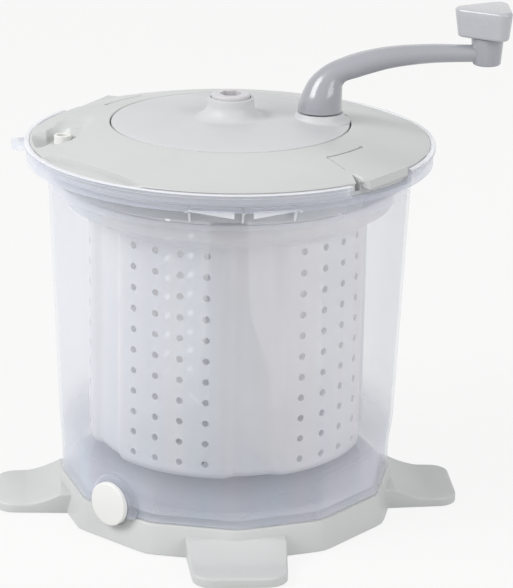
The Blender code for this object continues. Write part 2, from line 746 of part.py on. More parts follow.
def in_sector(azimuth, start, end):
    """Whether an azimuth lies in either of two opposite sectors."""
    slack = STEP_ANGLE / 2
    return any(
        start - slack <= (azimuth - turn) % 360 <= end + slack for turn in WING_TURNS)


def in_wing(azimuth):
    return in_sector(azimuth, WING_START, WING_END)


def lip_height(azimuth, height):
    """The lip is cut down to the ledge where the lid's latch wings sit."""
    if in_sector(azimuth, WING_START - NOTCH_START_MARGIN, WING_END + NOTCH_END_MARGIN):
        return TUB_LEDGE + (height - TUB_LEDGE) * NOTCH_SHARE
    return height


def split_azimuths(step, start, end):
    """Even columns plus a close pair at each side of two opposite sectors."""
    edges = []
    for turn in WING_TURNS:
        edges.append(turn + start)
        edges.append(turn + end)
    columns = []
    azimuth = 0.0
    while azimuth < 360 - step / 2:
        if all(abs(azimuth - edge) > 4 * STEP_ANGLE for edge in edges):
            columns.append(azimuth)
        azimuth += step
    for i, edge in enumerate(edges):
        outward = -STEP_ANGLE if i % 2 == 0 else STEP_ANGLE
        columns.extend((edge, edge + outward))
    return sorted(columns)


def tub_columns():
    return [360 / TUB_COLUMNS * i for i in range(TUB_COLUMNS)]


def tub_ring(columns, height, inset=0.0):
    return [polar(tub_outer(a, height) - inset, a, height) for a in columns]


def make_tub(material):
    """The tub's wall and floor, open at the top under its rim."""
    columns = tub_columns()
    top = FLANGE_BOTTOM - SEAT_GAP
    fillet_top = TUB_FLOOR_TOP + TUB_FILLET
    middle = (TUB_BOTTOM + TUB_ROUND_HEIGHT) / 2
    floor_ring = [
        polar(tub_outer(a, TUB_BOTTOM) - TUB_WALL - TUB_FILLET, a, TUB_FLOOR_TOP)
        for a in columns
    ]
    rings = [
        tub_ring(columns, TUB_BOTTOM, TUB_BOTTOM_CHAMFER),
        tub_ring(columns, TUB_BOTTOM + TUB_BOTTOM_CHAMFER),
        tub_ring(columns, middle),
        tub_ring(columns, TUB_ROUND_HEIGHT),
        tub_ring(columns, top),
        tub_ring(columns, top, TUB_WALL),
        tub_ring(columns, TUB_ROUND_HEIGHT, TUB_WALL),
        tub_ring(columns, middle, TUB_WALL),
        tub_ring(columns, fillet_top, TUB_WALL),
        floor_ring,
    ]
    tub = link("tub", skin(rings), material)
    bore_depth = DRAIN_BOSS_FACE - TUB_FOOT_RADIUS + 4 * TUB_WALL + TUB_FILLET
    bore = rod_mesh(DRAIN_BORE, -bore_depth, 0.0, SMALL_STEPS)
    bore = radial_mesh(bore, DRAIN_AZIMUTH, DRAIN_BOSS_FACE, DRAIN_HEIGHT)
    combine(tub, bore, "DIFFERENCE", "drain_bore")
    holes = []
    for azimuth in TUB_SCREW_AZIMUTHS:
        place = polar(TUB_SCREW_RING, azimuth)
        holes.append(rod_mesh(
            SCREW_RADIUS + SEAT_GAP, TUB_BOTTOM - OVERRUN, TUB_FLOOR_TOP + OVERRUN,
            SCREW_SIDES, place))
    combine(tub, merged(holes), "DIFFERENCE", "holes")
    return tub


def make_rim(material):
    """The flange with its lip and pouring tab, seated on the tub's wall."""
    columns = split_azimuths(
        360 / TUB_COLUMNS, WING_START - NOTCH_START_MARGIN, WING_END + NOTCH_END_MARGIN)
    bead = FLANGE_RADIUS + LIP_BEAD
    bead_low = LIP_TOP - LIP_BEAD_HEIGHT
    lip_inner = FLANGE_RADIUS - LIP_THICKNESS

    def notched(radius, height):
        return [polar(radius, a, lip_height(a, height)) for a in columns]

    def plain(radius, height):
        return [polar(radius, a, height) for a in columns]

    rings = [
        tub_ring(columns, FLANGE_BOTTOM, TUB_WALL),
        plain(FLANGE_RADIUS, FLANGE_BOTTOM),
        notched(FLANGE_RADIUS, bead_low - LIP_BEAD / 2),
        notched(bead, bead_low),
        notched(bead, LIP_TOP - LIP_CHAMFER),
        notched(bead - LIP_CHAMFER, LIP_TOP),
        notched(lip_inner, LIP_TOP),
        plain(lip_inner, TUB_LEDGE),
        tub_ring(columns, TUB_LEDGE, TUB_WALL),
    ]
    rim = link("tub_rim", skin(rings, closed=True), material)
    tip = TAB_WIDTH * TAB_TIP_SHARE / 2
    root = TAB_WIDTH / 2
    start = FLANGE_RADIUS - LIP_THICKNESS / 2
    knee = (start + TAB_REACH * 2) / 3
    outline = [
        (start, -root), (knee, -(root + tip) / 2), (TAB_REACH, -tip),
        (TAB_REACH, tip), (knee, (root + tip) / 2), (start, root),
    ]
    tab = flat_mesh([outline], TAB_TOP - TAB_THICKNESS, TAB_TOP)
    combine(rim, turn_mesh(tab, TAB_AZIMUTH - 90), "UNION", "tab")
    return rim


def make_flange_ribs(material):
    """Gussets and wedges under the flange, tied by a thin strip."""
    top = FLANGE_BOTTOM - SEAT_GAP
    for name, turn in zip(("flange_ribs_front", "flange_ribs_back"), GUSSET_SIDES):
        strip_outer = FLANGE_RADIUS - LUG_INSET
        strip_inner = strip_outer - STRIP_WIDTH
        outer, inner = [], []
        for i in range(STRIP_STEPS + 1):
            azimuth = LUG_ANGLES[1] * (2 * i / STRIP_STEPS - 1)
            outer.append(polar(strip_outer, azimuth)[:2])
            inner.append(polar(strip_inner, azimuth)[:2])
        strip = turn_mesh(flat_mesh([outer + inner[::-1]], top - STRIP_THICKNESS, top), turn)
        ribs = link(name, strip, material)
        for angle in GUSSET_ANGLES:
            root = tub_outer(angle, FLANGE_BOTTOM) + SEAT_GAP
            low_root = tub_outer(angle, GUSSET_BOTTOM) + SEAT_GAP
            reach = strip_outer - SEAT_GAP
            bend = (root * 2 + reach) / 3
            bend_height = (GUSSET_BOTTOM + FLANGE_BOTTOM * 2) / 3
            rib_top = top - STRIP_THICKNESS / 4
            outline = [
                (low_root, GUSSET_BOTTOM), (low_root + TUB_WALL / 2, GUSSET_BOTTOM),
                (bend, bend_height), (reach, FLANGE_BOTTOM - LUG_INSET), (reach, rib_top),
                (root, rib_top),
            ]
            gusset = upright_plate(outline, GUSSET_THICKNESS, turn + angle)
            combine(ribs, gusset, "UNION", "gusset_%d" % angle)
        for side in (-1, 1):
            combine(ribs, lug_mesh(turn, side), "UNION", "lug_%d" % side)


def make_drain_collar(material):
    """The ring round the drain, shaped to the tub's wall behind it."""
    inside = TUB_FOOT_RADIUS * math.cos(math.pi / SIDES) - TUB_WALL
    length = DRAIN_BOSS_FACE - inside
    profile = [
        (0.0, length),
        (DRAIN_BOSS_RADIUS - DRAIN_BOSS_CHAMFER, length),
        (DRAIN_BOSS_RADIUS - DRAIN_BOSS_CHAMFER / 4, length - DRAIN_BOSS_CHAMFER / 3),
        (DRAIN_BOSS_RADIUS, length - DRAIN_BOSS_CHAMFER),
        (DRAIN_BOSS_RADIUS, 0.0),
        (0.0, 0.0),
    ]
    boss = turned_mesh(profile, ROUND_STEPS, on_axis=True)
    boss = turn_mesh(boss, 180 / ROUND_STEPS)
    boss = radial_mesh(boss, DRAIN_AZIMUTH, inside, DRAIN_HEIGHT)
    collar = link("drain_collar", boss, material)
    columns = tub_columns()
    middle = (TUB_BOTTOM + TUB_ROUND_HEIGHT) / 2
    heights = (PLINTH_LIFT, TUB_BOTTOM + TUB_BOTTOM_CHAMFER, middle, TUB_ROUND_HEIGHT)
    wall = skin([tub_ring(columns, height, -SEAT_GAP) for height in heights])
    combine(collar, wall, "DIFFERENCE", "wall")
    bore = turned_mesh([
        (0.0, OVERRUN), (DRAIN_SEAT_RADIUS, OVERRUN), (DRAIN_SEAT_RADIUS, -DRAIN_SEAT_DEPTH),
        (DRAIN_BORE, -DRAIN_SEAT_DEPTH), (DRAIN_BORE, -length - OVERRUN), (0.0, -length - OVERRUN),
    ], SMALL_STEPS, on_axis=True)
    bore = turn_mesh(bore, 180 / SMALL_STEPS)
    bore = radial_mesh(bore, DRAIN_AZIMUTH, DRAIN_BOSS_FACE, DRAIN_HEIGHT)
    combine(collar, bore, "DIFFERENCE", "bore")
    return collar


def lug_mesh(turn, side):
    """A shallow wedge under the flange's edge, deepest beside the middle gusset."""
    radius = FLANGE_RADIUS - LUG_INSET - GUSSET_THICKNESS
    top = FLANGE_BOTTOM - SEAT_GAP - STRIP_THICKNESS / 3
    near = polar(radius, side * LUG_ANGLES[0])
    far = polar(radius, side * LUG_ANGLES[1])
    run = (far - near).length
    outline = [
        (0.0, top), (0.0, FLANGE_BOTTOM - LUG_DEPTH),
        (run, FLANGE_BOTTOM - LUG_INSET / 2), (run, top),
    ]
    mesh = flat_mesh([outline], -GUSSET_THICKNESS / 2, GUSSET_THICKNESS / 2)
    mesh.transform(Matrix.Rotation(math.radians(90), 4, "X"))
    heading = math.atan2(far.y - near.y, far.x - near.x)
    mesh.transform(Matrix.Translation(near) @ Matrix.Rotation(heading, 4, "Z"))
    return turn_mesh(mesh, turn)


def make_drain(cap_material, seal_material):
    seat_floor = DRAIN_BOSS_FACE - DRAIN_SEAT_DEPTH
    stem_radius = DRAIN_SEAT_RADIUS - CAP_STEM_GAP
    nose_radius = DRAIN_BORE - CAP_NOSE_GAP
    stem_back = SEAT_GAP + CAP_SEAL_THICKNESS + SEAT_GAP
    cap_back = DRAIN_SEAT_DEPTH + SEAT_GAP
    cap_front = cap_back + CAP_THICKNESS
    profile = [
        (0.0, cap_front),
        (CAP_RADIUS - CAP_EDGE, cap_front),
        (CAP_RADIUS, cap_front - CAP_EDGE),
        (CAP_RADIUS, cap_back),
        (stem_radius, cap_back),
        (stem_radius, stem_back),
        (nose_radius, stem_back),
        (nose_radius, CAP_EDGE - CAP_NOSE_LENGTH),
        (nose_radius - CAP_EDGE, -CAP_NOSE_LENGTH),
        (0.0, -CAP_NOSE_LENGTH),
    ]
    cap = turned_mesh(profile, ROUND_STEPS, on_axis=True)
    link("drain_plug", radial_mesh(cap, DRAIN_AZIMUTH, seat_floor, DRAIN_HEIGHT), cap_material)
    inner = nose_radius + SEAT_GAP
    outer = inner + CAP_SEAL_WIDTH
    seal = turned_mesh([
        (outer, SEAT_GAP + CAP_SEAL_THICKNESS), (outer, SEAT_GAP),
        (inner, SEAT_GAP), (inner, SEAT_GAP + CAP_SEAL_THICKNESS),
    ], SMALL_STEPS)
    link("drain_seal", radial_mesh(seal, DRAIN_AZIMUTH, seat_floor, DRAIN_HEIGHT), seal_material)


def ring_profile(outer, inner, bottom, top):
    return [(outer, top), (outer, bottom), (inner, bottom), (inner, top)]


def make_spindle(steel, bush_material, plate_material):
    low = SPINDLE_BOSS_TOP - SPINDLE_DEPTH
    bore = SPINDLE_RADIUS + SEAT_GAP
    link("spindle_pin", rod_mesh(SPINDLE_RADIUS, low + SEAT_GAP, SPINDLE_TOP, SMALL_STEPS), steel)
    bottom = TUB_FLOOR_TOP + SEAT_GAP
    plate_top = bottom + SPINDLE_PLATE
    plate = link("spindle_plate", turned_mesh([
        (0.0, SPINDLE_BOSS_TOP), (SPINDLE_BOSS_RADIUS, SPINDLE_BOSS_TOP),
        (SPINDLE_BOSS_RADIUS, plate_top), (SPINDLE_PLATE_RADIUS, plate_top),
        (SPINDLE_PLATE_RADIUS, bottom), (0.0, bottom),
    ], ROUND_STEPS, on_axis=True), plate_material)
    holes = [rod_mesh(bore, low, SPINDLE_BOSS_TOP + OVERRUN, SMALL_STEPS)]
    pilot_top = PLINTH_TOP - PLATE_THICKNESS + BASE_SCREW_LENGTH + SEAT_GAP
    for azimuth in TUB_SCREW_AZIMUTHS:
        place = polar(TUB_SCREW_RING, azimuth)
        holes.append(rod_mesh(
            SCREW_RADIUS + SEAT_GAP, bottom - OVERRUN, pilot_top, SCREW_SIDES, place))
    combine(plate, merged(holes), "DIFFERENCE", "holes")
    washer = turned_mesh(
        ring_profile(WASHER_RADIUS, bore, WASHER_BOTTOM, WASHER_BOTTOM + WASHER_THICKNESS),
        SMALL_STEPS)
    link("thrust_washer", washer, bush_material)
    bush = turned_mesh(
        ring_profile(bore + BUSH_WALL, bore, HUB_BOTTOM, BUSH_TOP), SMALL_STEPS)
    link("basket_bush", bush, bush_material)


def basket_columns():
    """Column azimuths with the share of flute depth at each."""
    offsets = [(offset, 0.0) for offset in PANEL_OFFSETS]
    offsets += list(zip(FLUTE_OFFSETS, FLUTE_DEPTH_SHARES))
    pitch = 360 / BASKET_PANELS
    return [
        (BASKET_TURN + pitch * panel + offset, share)
        for panel in range(BASKET_PANELS) for offset, share in offsets
    ]


def make_basket(material):
    columns = basket_columns()
    floor_top = BASKET_BOTTOM + BASKET_FLOOR

    def fluted(radius, height):
        return [polar(radius - FLUTE_DEPTH * share, a, height) for a, share in columns]

    corner = BASKET_CORNER
    half = corner * (1 - math.cos(math.radians(45)))
    inner = BASKET_RADIUS - BASKET_WALL
    inner_corner = corner - BASKET_WALL
    inner_half = inner_corner * (1 - math.cos(math.radians(45)))
    rings = [
        fluted(BASKET_RADIUS - corner, BASKET_BOTTOM),
        fluted(BASKET_RADIUS - half, BASKET_BOTTOM + half),
        fluted(BASKET_RADIUS, BASKET_BOTTOM + corner),
        fluted(BASKET_RADIUS, SHOULDER_BOTTOM - SEAT_GAP),
        fluted(inner, SHOULDER_BOTTOM - SEAT_GAP),
        fluted(inner, floor_top + inner_corner),
        fluted(inner - inner_half, floor_top + inner_half),
        fluted(inner - inner_corner, floor_top),
    ]
    basket = link("basket", skin(rings), material)
    hub_space = SPINDLE_RADIUS + 2 * SEAT_GAP + BUSH_WALL + HUB_WALL + SEAT_GAP
    cuts = [rod_mesh(hub_space, BASKET_BOTTOM - OVERRUN, floor_top + OVERRUN, ROUND_STEPS)]
    for i in range(SLOT_COUNT):
        slot = box_mesh(
            (SLOT_INNER, -SLOT_WIDTH / 2, BASKET_BOTTOM - OVERRUN),
            (SLOT_OUTER, SLOT_WIDTH / 2, floor_top + OVERRUN))
        cuts.append(turn_mesh(slot, 360 * i / SLOT_COUNT))
    combine(basket, merged(cuts), "DIFFERENCE", "floor_cuts")
    combine(basket, merged(hole_meshes()), "DIFFERENCE", "wall_holes")
    return basket


def make_basket_rim(material):
    """The flared shoulder and rim that sit on the basket's fluted wall."""
    columns = basket_columns()
    inner = BASKET_RADIUS - BASKET_WALL
    rim_inner = RIM_RADIUS - RIM_WALL

    def fluted(radius, height):
        fade = smoothstep((SHOULDER_TOP - height) / (SHOULDER_TOP - SHOULDER_BOTTOM))
        return [polar(radius - FLUTE_DEPTH * share * fade, a, height) for a, share in columns]

    return link("basket_rim", skin([
        fluted(BASKET_RADIUS, SHOULDER_BOTTOM),
        fluted(RIM_RADIUS, SHOULDER_TOP),
        fluted(RIM_RADIUS, RIM_TOP - RIM_CHAMFER),
        fluted(RIM_RADIUS - RIM_CHAMFER, RIM_TOP),
        fluted(rim_inner, RIM_TOP),
        fluted(rim_inner, SHOULDER_TOP + RIM_WALL),
        fluted(inner, SHOULDER_BOTTOM + RIM_WALL),
        fluted(inner, SHOULDER_BOTTOM),
    ], closed=True), material)


def hole_meshes():
    pitch = 360 / BASKET_PANELS
    holes = []
    for panel in range(BASKET_PANELS):
        for offset in HOLE_OFFSETS:
            azimuth = BASKET_TURN + pitch * panel + offset
            for row in range(HOLE_ROWS):
                hole = rod_mesh(HOLE_RADIUS, -OVERRUN, OVERRUN, HOLE_SIDES)
                height = HOLE_BOTTOM + HOLE_PITCH * row
                holes.append(radial_mesh(hole, azimuth, BASKET_RADIUS, height))
    return holes


def make_column(material):
    bottom = BASKET_BOTTOM + BASKET_FLOOR + SEAT_GAP
    hub_bore = SPINDLE_RADIUS + 2 * SEAT_GAP + BUSH_WALL
    hub_outer = hub_bore + HUB_WALL
    flange_top = bottom + COLUMN_FLANGE
    head = COLUMN_TOP - COLUMN_HEAD
    column = link("agitator_column", turned_mesh([
        (COLUMN_TOP_RADIUS, COLUMN_TOP),
        (COLUMN_RADIUS, VANE_TOP),
        (COLUMN_RADIUS, flange_top),
        (COLUMN_FLANGE_RADIUS, flange_top),
        (COLUMN_FLANGE_RADIUS, bottom),
        (hub_outer, bottom),
        (hub_outer, HUB_BOTTOM),
        (hub_bore, HUB_BOTTOM),
        (hub_bore, HUB_TOP),
        (COLUMN_RADIUS - COLUMN_WALL, HUB_TOP + COLUMN_WALL),
        (COLUMN_RADIUS - COLUMN_WALL, VANE_TOP),
        (COLUMN_TOP_RADIUS - COLUMN_WALL, head),
        (SHAFT_RADIUS, head),
        (SHAFT_RADIUS, COLUMN_TOP),
    ], ROUND_STEPS), material)
    plug = rod_mesh(COLUMN_TOP_RADIUS - COLUMN_WALL / 2, head, COLUMN_TOP - SEAT_GAP, SMALL_STEPS)
    combine(column, plug, "UNION", "head")
    for i in range(VANE_COUNT):
        slope = VANE_TOP - (VANE_TOP - flange_top) * VANE_SLOPE_SHARE
        outline = [
            (COLUMN_RADIUS - COLUMN_WALL / 2, bottom + COLUMN_FLANGE / 2),
            (VANE_REACH, bottom + COLUMN_FLANGE / 2),
            (VANE_REACH, slope),
            (COLUMN_RADIUS - COLUMN_WALL / 2, VANE_TOP),
        ]
        vane = upright_plate(outline, VANE_THICKNESS, 360 * i / VANE_COUNT + BASKET_TURN)
        combine(column, vane, "UNION", "vane_%d" % i)
    socket = flat_mesh([hex_points(SHAFT_HEX + HEX_PLAY)], head - OVERRUN, COLUMN_TOP + OVERRUN)
    combine(column, socket, "DIFFERENCE", "socket")
    return column


def dome_height(radius):
    share = (radius - LID_INNER_RADIUS) / (LID_RADIUS - LID_INNER_RADIUS)
    share = min(max(share, 0.0), 1.0)
    return LID_RIM_HEIGHT + (LID_INNER_TOP - LID_RIM_HEIGHT) * (1 - share ** DOME_POWER)


def well_depth(point):
    """The teardrop scoop round the inlet: steep outside, fading inwards."""
    centre = polar(WELL_RADIUS, WELL_AZIMUTH)
    outward = polar(1.0, WELL_AZIMUTH)
    offset = Vector((point.x - centre.x, point.y - centre.y, 0.0))
    along = offset.dot(outward) / WELL_HALF_DEPTH
    across = offset.cross(outward).z / WELL_HALF_WIDTH
    spread = 1 - along * along - across * across
    if spread <= 0:
        return 0.0
    return WELL_DROP * min(1.0, WELL_STEEPNESS * spread) * smoothstep((along + 1) / 1.3)


def crease_radius(azimuth):
    """The top ends near the rim, but on a straight chord above each bevel."""
    radius = LID_RADIUS - LID_CREASE_INSET
    if in_wing(azimuth):
        return radius
    for chord in CHORD_AZIMUTHS:
        offset = math.radians((azimuth - chord + 180) % 360 - 180)
        if math.cos(offset) > CHORD_DISTANCE / radius:
            radius = min(radius, CHORD_DISTANCE / math.cos(offset))
    return radius


def lid_edge(azimuth):
    """Radius and height of the lid's outer edge, out at the latch wings."""
    if not in_wing(azimuth):
        bevelled = crease_radius(azimuth) < LID_RADIUS - 2 * LID_CREASE_INSET
        return LID_RADIUS, LID_RIM_HEIGHT - (BEVEL_RIM_DROP if bevelled else 0.0)
    local = azimuth % 180
    offset = math.radians(min(local - WING_TANGENT, 0.0))
    return WING_DISTANCE / math.cos(offset), WING_TOP


def make_lid(material):
    columns = split_azimuths(LID_STEP, WING_START, WING_END)
    span = CHORD_DISTANCE - LID_INNER_RADIUS

    def top(azimuth, radius, drop=0.0):
        point = polar(radius, azimuth)
        point.z = dome_height(radius) - well_depth(point) - drop
        return point

    radii = [LID_INNER_RADIUS] + [
        LID_INNER_RADIUS + span * share / LID_RING_SHARES[-1] * 0.96 for share in LID_RING_SHARES
    ]
    rings = [[top(a, radius) for a in columns] for radius in radii]
    crease = []
    for a in columns:
        point = top(a, crease_radius(a))
        if in_wing(a):
            point.z = WING_TOP + LID_CREASE_INSET / 4
        crease.append(point)
    rings.append(crease)
    rings.append([polar(lid_edge(a)[0], a, lid_edge(a)[1]) for a in columns])
    rings.append([polar(lid_edge(a)[0], a, WING_BOTTOM) for a in columns])
    step = WING_BOTTOM - STEP_DROP
    rings.append([polar(LID_RADIUS, a, step) for a in columns])
    rings.append([polar(LID_RADIUS, a, LID_BOTTOM) for a in columns])
    inner_edge = LID_RADIUS - LID_EDGE_WALL
    rings.append([polar(inner_edge, a, LID_BOTTOM) for a in columns])
    roof = LID_RIM_HEIGHT - LID_SKIN - WELL_DROP / 3
    rings.append([polar(inner_edge, a, roof) for a in columns])
    rings.append([polar(SPIGOT_RADIUS, a, roof) for a in columns])
    rings.append([polar(SPIGOT_RADIUS, a, spigot_bottom(a, roof)) for a in columns])
    spigot_inner = SPIGOT_RADIUS - SPIGOT_WALL
    rings.append([polar(spigot_inner, a, spigot_bottom(a, roof)) for a in columns])
    under = [radius for radius in radii[1:-1] if radius < spigot_inner - SPIGOT_WALL]
    rings.append([top(a, spigot_inner, LID_SKIN) for a in columns])
    for radius in reversed(under):
        rings.append([top(a, radius, LID_SKIN) for a in columns])
    wall = LID_INNER_RADIUS + LID_EDGE_WALL
    rings.append([polar(wall, a, LEDGE_TOP - LEDGE_THICKNESS) for a in columns])
    ledge = LID_INNER_RADIUS - LEDGE_WIDTH
    rings.append([polar(ledge, a, LEDGE_TOP - LEDGE_THICKNESS) for a in columns])
    rings.append([polar(ledge, a, LEDGE_TOP) for a in columns])
    rings.append([polar(LID_INNER_RADIUS, a, LEDGE_TOP) for a in columns])
    lid = link("lid_cover", skin(rings, closed=True), material)

    bosses = []
    for azimuth in LID_SCREW_AZIMUTHS:
        place = polar(LID_SCREW_RING, azimuth)
        boss_top = dome_height(LID_SCREW_RING) - LID_SKIN / 2
        boss_bottom = PAN_FLOOR_TOP + SEAT_GAP
        bosses.append(rod_mesh(LID_BOSS_RADIUS, boss_bottom, boss_top, SCREW_SIDES, place))
    combine(lid, merged(bosses), "UNION", "bosses")

    cuts = []
    for azimuth in LID_SCREW_AZIMUTHS:
        place = polar(LID_SCREW_RING, azimuth)
        pilot_top = PAN_FLOOR_TOP + SCREW_LENGTH
        radius = SCREW_RADIUS + SEAT_GAP
        cuts.append(rod_mesh(radius, PAN_FLOOR_TOP - OVERRUN, pilot_top, SCREW_SIDES, place))
    place = polar(INLET_PLACE, WELL_AZIMUTH)
    cuts.append(rod_mesh(
        INLET_RADIUS + SEAT_GAP, INLET_BOTTOM, INLET_TOP + OVERRUN, SMALL_STEPS, place))
    combine(lid, merged(cuts), "DIFFERENCE", "holes")
    for i, turn in enumerate(WING_TURNS):
        combine(lid, slit_mesh(turn), "DIFFERENCE", "slit_%d" % i)
    return lid


def slit_mesh(turn):
    """An arc slit with a round end, joined to a slit along the wing's side."""
    half = SLIT_WIDTH / 2
    outer, inner = [], []
    for i in range(SLIT_STEPS + 1):
        azimuth = WING_START + (SLIT_END - WING_START) * i / SLIT_STEPS
        outer.append(polar(SLIT_RADIUS + half, azimuth)[:2])
        inner.append(polar(SLIT_RADIUS - half, azimuth)[:2])
    bottom = dome_height(SLIT_RADIUS) - 2 * LID_SKIN
    height = dome_height(SLIT_RADIUS) + OVERRUN
    arc = flat_mesh([outer + inner[::-1]], bottom, height)
    slit = link("slit_blank", arc, cutter=True)
    end = polar(SLIT_RADIUS, SLIT_END)
    combine(slit, rod_mesh(SLIT_END_RADIUS, bottom, height, SCREW_SIDES, end), "UNION", "end")
    side_end = SPIGOT_RADIUS - SPIGOT_WALL - SEAT_GAP
    side = box_mesh(
        (SLIT_RADIUS - half, -half, bottom - OVERRUN), (side_end, half, height - SEAT_GAP))
    combine(slit, turn_mesh(side, WING_START + half / SLIT_RADIUS - 90), "UNION", "side")
    return turn_mesh(weld(evaluated_mesh(slit)), turn)


def spigot_bottom(azimuth, roof):
    """The locating ring stops at the latch wings, so that they can flex."""
    if in_wing(azimuth):
        return roof - STEP_DROP
    return SPIGOT_BOTTOM


def make_inlet(material):
    place = polar(INLET_PLACE, WELL_AZIMUTH)
    tube = turned_mesh([
        (INLET_RADIUS - INLET_ROUND, INLET_TOP), (INLET_RADIUS, INLET_TOP - INLET_ROUND),
        (INLET_RADIUS, INLET_BOTTOM), (INLET_BORE, INLET_BOTTOM), (INLET_BORE, INLET_TOP),
    ], SMALL_STEPS, place)
    link("inlet_tube", tube, material)


def make_cover(material):
    """The round gear cover with its centre boss and the crank's collar."""
    profile = [(BOSS_BORE, BOSS_TOP), (BOSS_RADIUS - COVER_EDGE_ROUND, BOSS_TOP)]
    profile.append((BOSS_RADIUS, BOSS_TOP - COVER_EDGE_ROUND))
    for i in range(1, FILLET_STEPS + 1):
        angle = math.radians(90 * i / FILLET_STEPS)
        profile.append((
            BOSS_RADIUS + BOSS_FILLET * (1 - math.cos(angle)),
            COVER_CROWN + BOSS_FILLET * (1 - math.sin(angle)),
        ))
    under = COVER_EDGE_TOP - COVER_SKIN
    wall = COVER_RADIUS - COVER_SKIN
    profile += [
        (COVER_CROWN_RADIUS, COVER_CROWN - COVER_EDGE_ROUND / 4),
        (COVER_RADIUS * COVER_SHOULDER_SHARE, COVER_EDGE_TOP + COVER_RISE),
        (COVER_RADIUS - COVER_EDGE_ROUND, COVER_EDGE_TOP),
        (COVER_RADIUS, COVER_EDGE_TOP - COVER_EDGE_ROUND),
        (COVER_RADIUS, LEDGE_TOP + SEAT_GAP),
        (wall, LEDGE_TOP + SEAT_GAP),
        (wall, under),
        (BOSS_RADIUS + BOSS_FILLET, COVER_CROWN - COVER_SKIN - COVER_EDGE_ROUND),
        (UPPER_BUSH_RADIUS + BOSS_WALL, COVER_CROWN - COVER_SKIN - COVER_EDGE_ROUND),
        (UPPER_BUSH_RADIUS + BOSS_WALL, UPPER_BUSH_BOTTOM),
        (UPPER_BUSH_RADIUS + SEAT_GAP, UPPER_BUSH_BOTTOM),
        (UPPER_BUSH_RADIUS + SEAT_GAP, UPPER_BUSH_TOP),
        (BOSS_BORE, UPPER_BUSH_TOP),
    ]
    cover = link("gear_cover", turned_mesh(profile, FINE_STEPS), material)
    place = (CRANK_AXIS, 0.0)
    collar = cone_mesh(
        COLLAR_FOOT_RADIUS, COLLAR_RADIUS, COVER_EDGE_TOP - COVER_SKIN / 2, COLLAR_TOP,
        ROUND_STEPS, place)
    combine(cover, collar, "UNION", "collar")
    sleeve_radius = COLLAR_BORE + BOSS_WALL
    sleeve = rod_mesh(
        sleeve_radius, CRANK_BUSH_BOTTOM, COVER_EDGE_TOP, ROUND_STEPS, place)
    combine(cover, sleeve, "UNION", "sleeve")
    hooks = []
    for azimuth in HOOK_AZIMUTHS:
        ledge = LID_INNER_RADIUS - LEDGE_WIDTH
        outer = ledge - 2 * SEAT_GAP
        inner = outer - HOOK_THICKNESS
        catch = LEDGE_TOP - LEDGE_THICKNESS - 2 * SEAT_GAP
        outline = [
            (inner, under + FUSE), (inner, catch - HOOK_TIP), (outer, catch - HOOK_TIP),
            (outer + HOOK_BARB, catch - HOOK_TIP / 3), (outer + HOOK_BARB, catch),
            (outer, catch), (outer, under + FUSE),
        ]
        hooks.append(upright_plate(outline, HOOK_WIDTH, azimuth))
    combine(cover, merged(hooks), "UNION", "hooks")
    bore = rod_mesh(
        COLLAR_BORE, CRANK_BUSH_BOTTOM - OVERRUN, COLLAR_TOP + OVERRUN, ROUND_STEPS, place)
    combine(cover, bore, "DIFFERENCE", "collar_bore")
    return cover


def make_pan(material):
    """The gear housing: a dish under the lid, screwed up into its bosses."""
    floor = PAN_FLOOR_TOP - PAN_FLOOR
    wall_top = dome_height(PAN_RADIUS) - LID_SKIN - 3 * SEAT_GAP
    centre_bore = SHAFT_RADIUS + SHAFT_BUSH_BORE_GAP + SHAFT_BUSH_WALL + SEAT_GAP
    hub_low = floor - PAN_HUB_DROP
    hub = centre_bore + PAN_HUB_WALL
    pan = link("gear_housing", turned_mesh([
        (PAN_RADIUS, wall_top), (PAN_RADIUS, floor), (hub, floor), (hub, hub_low),
        (centre_bore, hub_low), (centre_bore, PAN_FLOOR_TOP),
        (PAN_RADIUS - PAN_WALL, PAN_FLOOR_TOP), (PAN_RADIUS - PAN_WALL, wall_top),
    ], FINE_STEPS), material)
    place = (CRANK_AXIS, 0.0)
    bore = CRANK_JOURNAL_RADIUS + SEAT_GAP + CRANK_BUSH_WALL + SEAT_GAP
    hub = rod_mesh(bore + PAN_HUB_WALL, hub_low, PAN_FLOOR_TOP - FUSE, ROUND_STEPS, place)
    combine(pan, hub, "UNION", "crank_hub")
    spot = polar(INLET_PLACE, WELL_AZIMUTH)
    tube_space = INLET_RADIUS + 4 * SEAT_GAP
    sleeve = link("inlet_sleeve", rod_mesh(
        tube_space + PAN_WALL, floor + FUSE, wall_top - FUSE, SMALL_STEPS, spot), cutter=True)
    limit = rod_mesh(PAN_RADIUS - PAN_WALL / 2, floor - OVERRUN, wall_top + OVERRUN, FINE_STEPS)
    combine(sleeve, limit, "INTERSECT", "limit")
    combine(pan, weld(evaluated_mesh(sleeve)), "UNION", "inlet_sleeve")
    cuts = [rod_mesh(bore, hub_low + PAN_FLOOR, PAN_FLOOR_TOP + OVERRUN, ROUND_STEPS, place)]
    for azimuth in LID_SCREW_AZIMUTHS:
        screw_place = polar(LID_SCREW_RING, azimuth)
        radius = SCREW_RADIUS + SEAT_GAP
        cuts.append(rod_mesh(
            radius, floor - OVERRUN, PAN_FLOOR_TOP + OVERRUN, SCREW_SIDES, screw_place))
    cuts.append(rod_mesh(
        tube_space, floor - OVERRUN, wall_top + OVERRUN, SMALL_STEPS, spot))
    combine(pan, merged(cuts), "DIFFERENCE", "holes")
    well_floor = dome_height(WELL_RADIUS) - WELL_DROP - LID_SKIN - 3 * SEAT_GAP
    half = WELL_HALF_WIDTH + OVERRUN
    notch = box_mesh(
        (-PAN_RADIUS - OVERRUN, -half, well_floor - OVERRUN / 2),
        (-WELL_RADIUS + WELL_HALF_DEPTH, half, wall_top + OVERRUN))
    combine(pan, notch, "DIFFERENCE", "well_notch")
    return pan


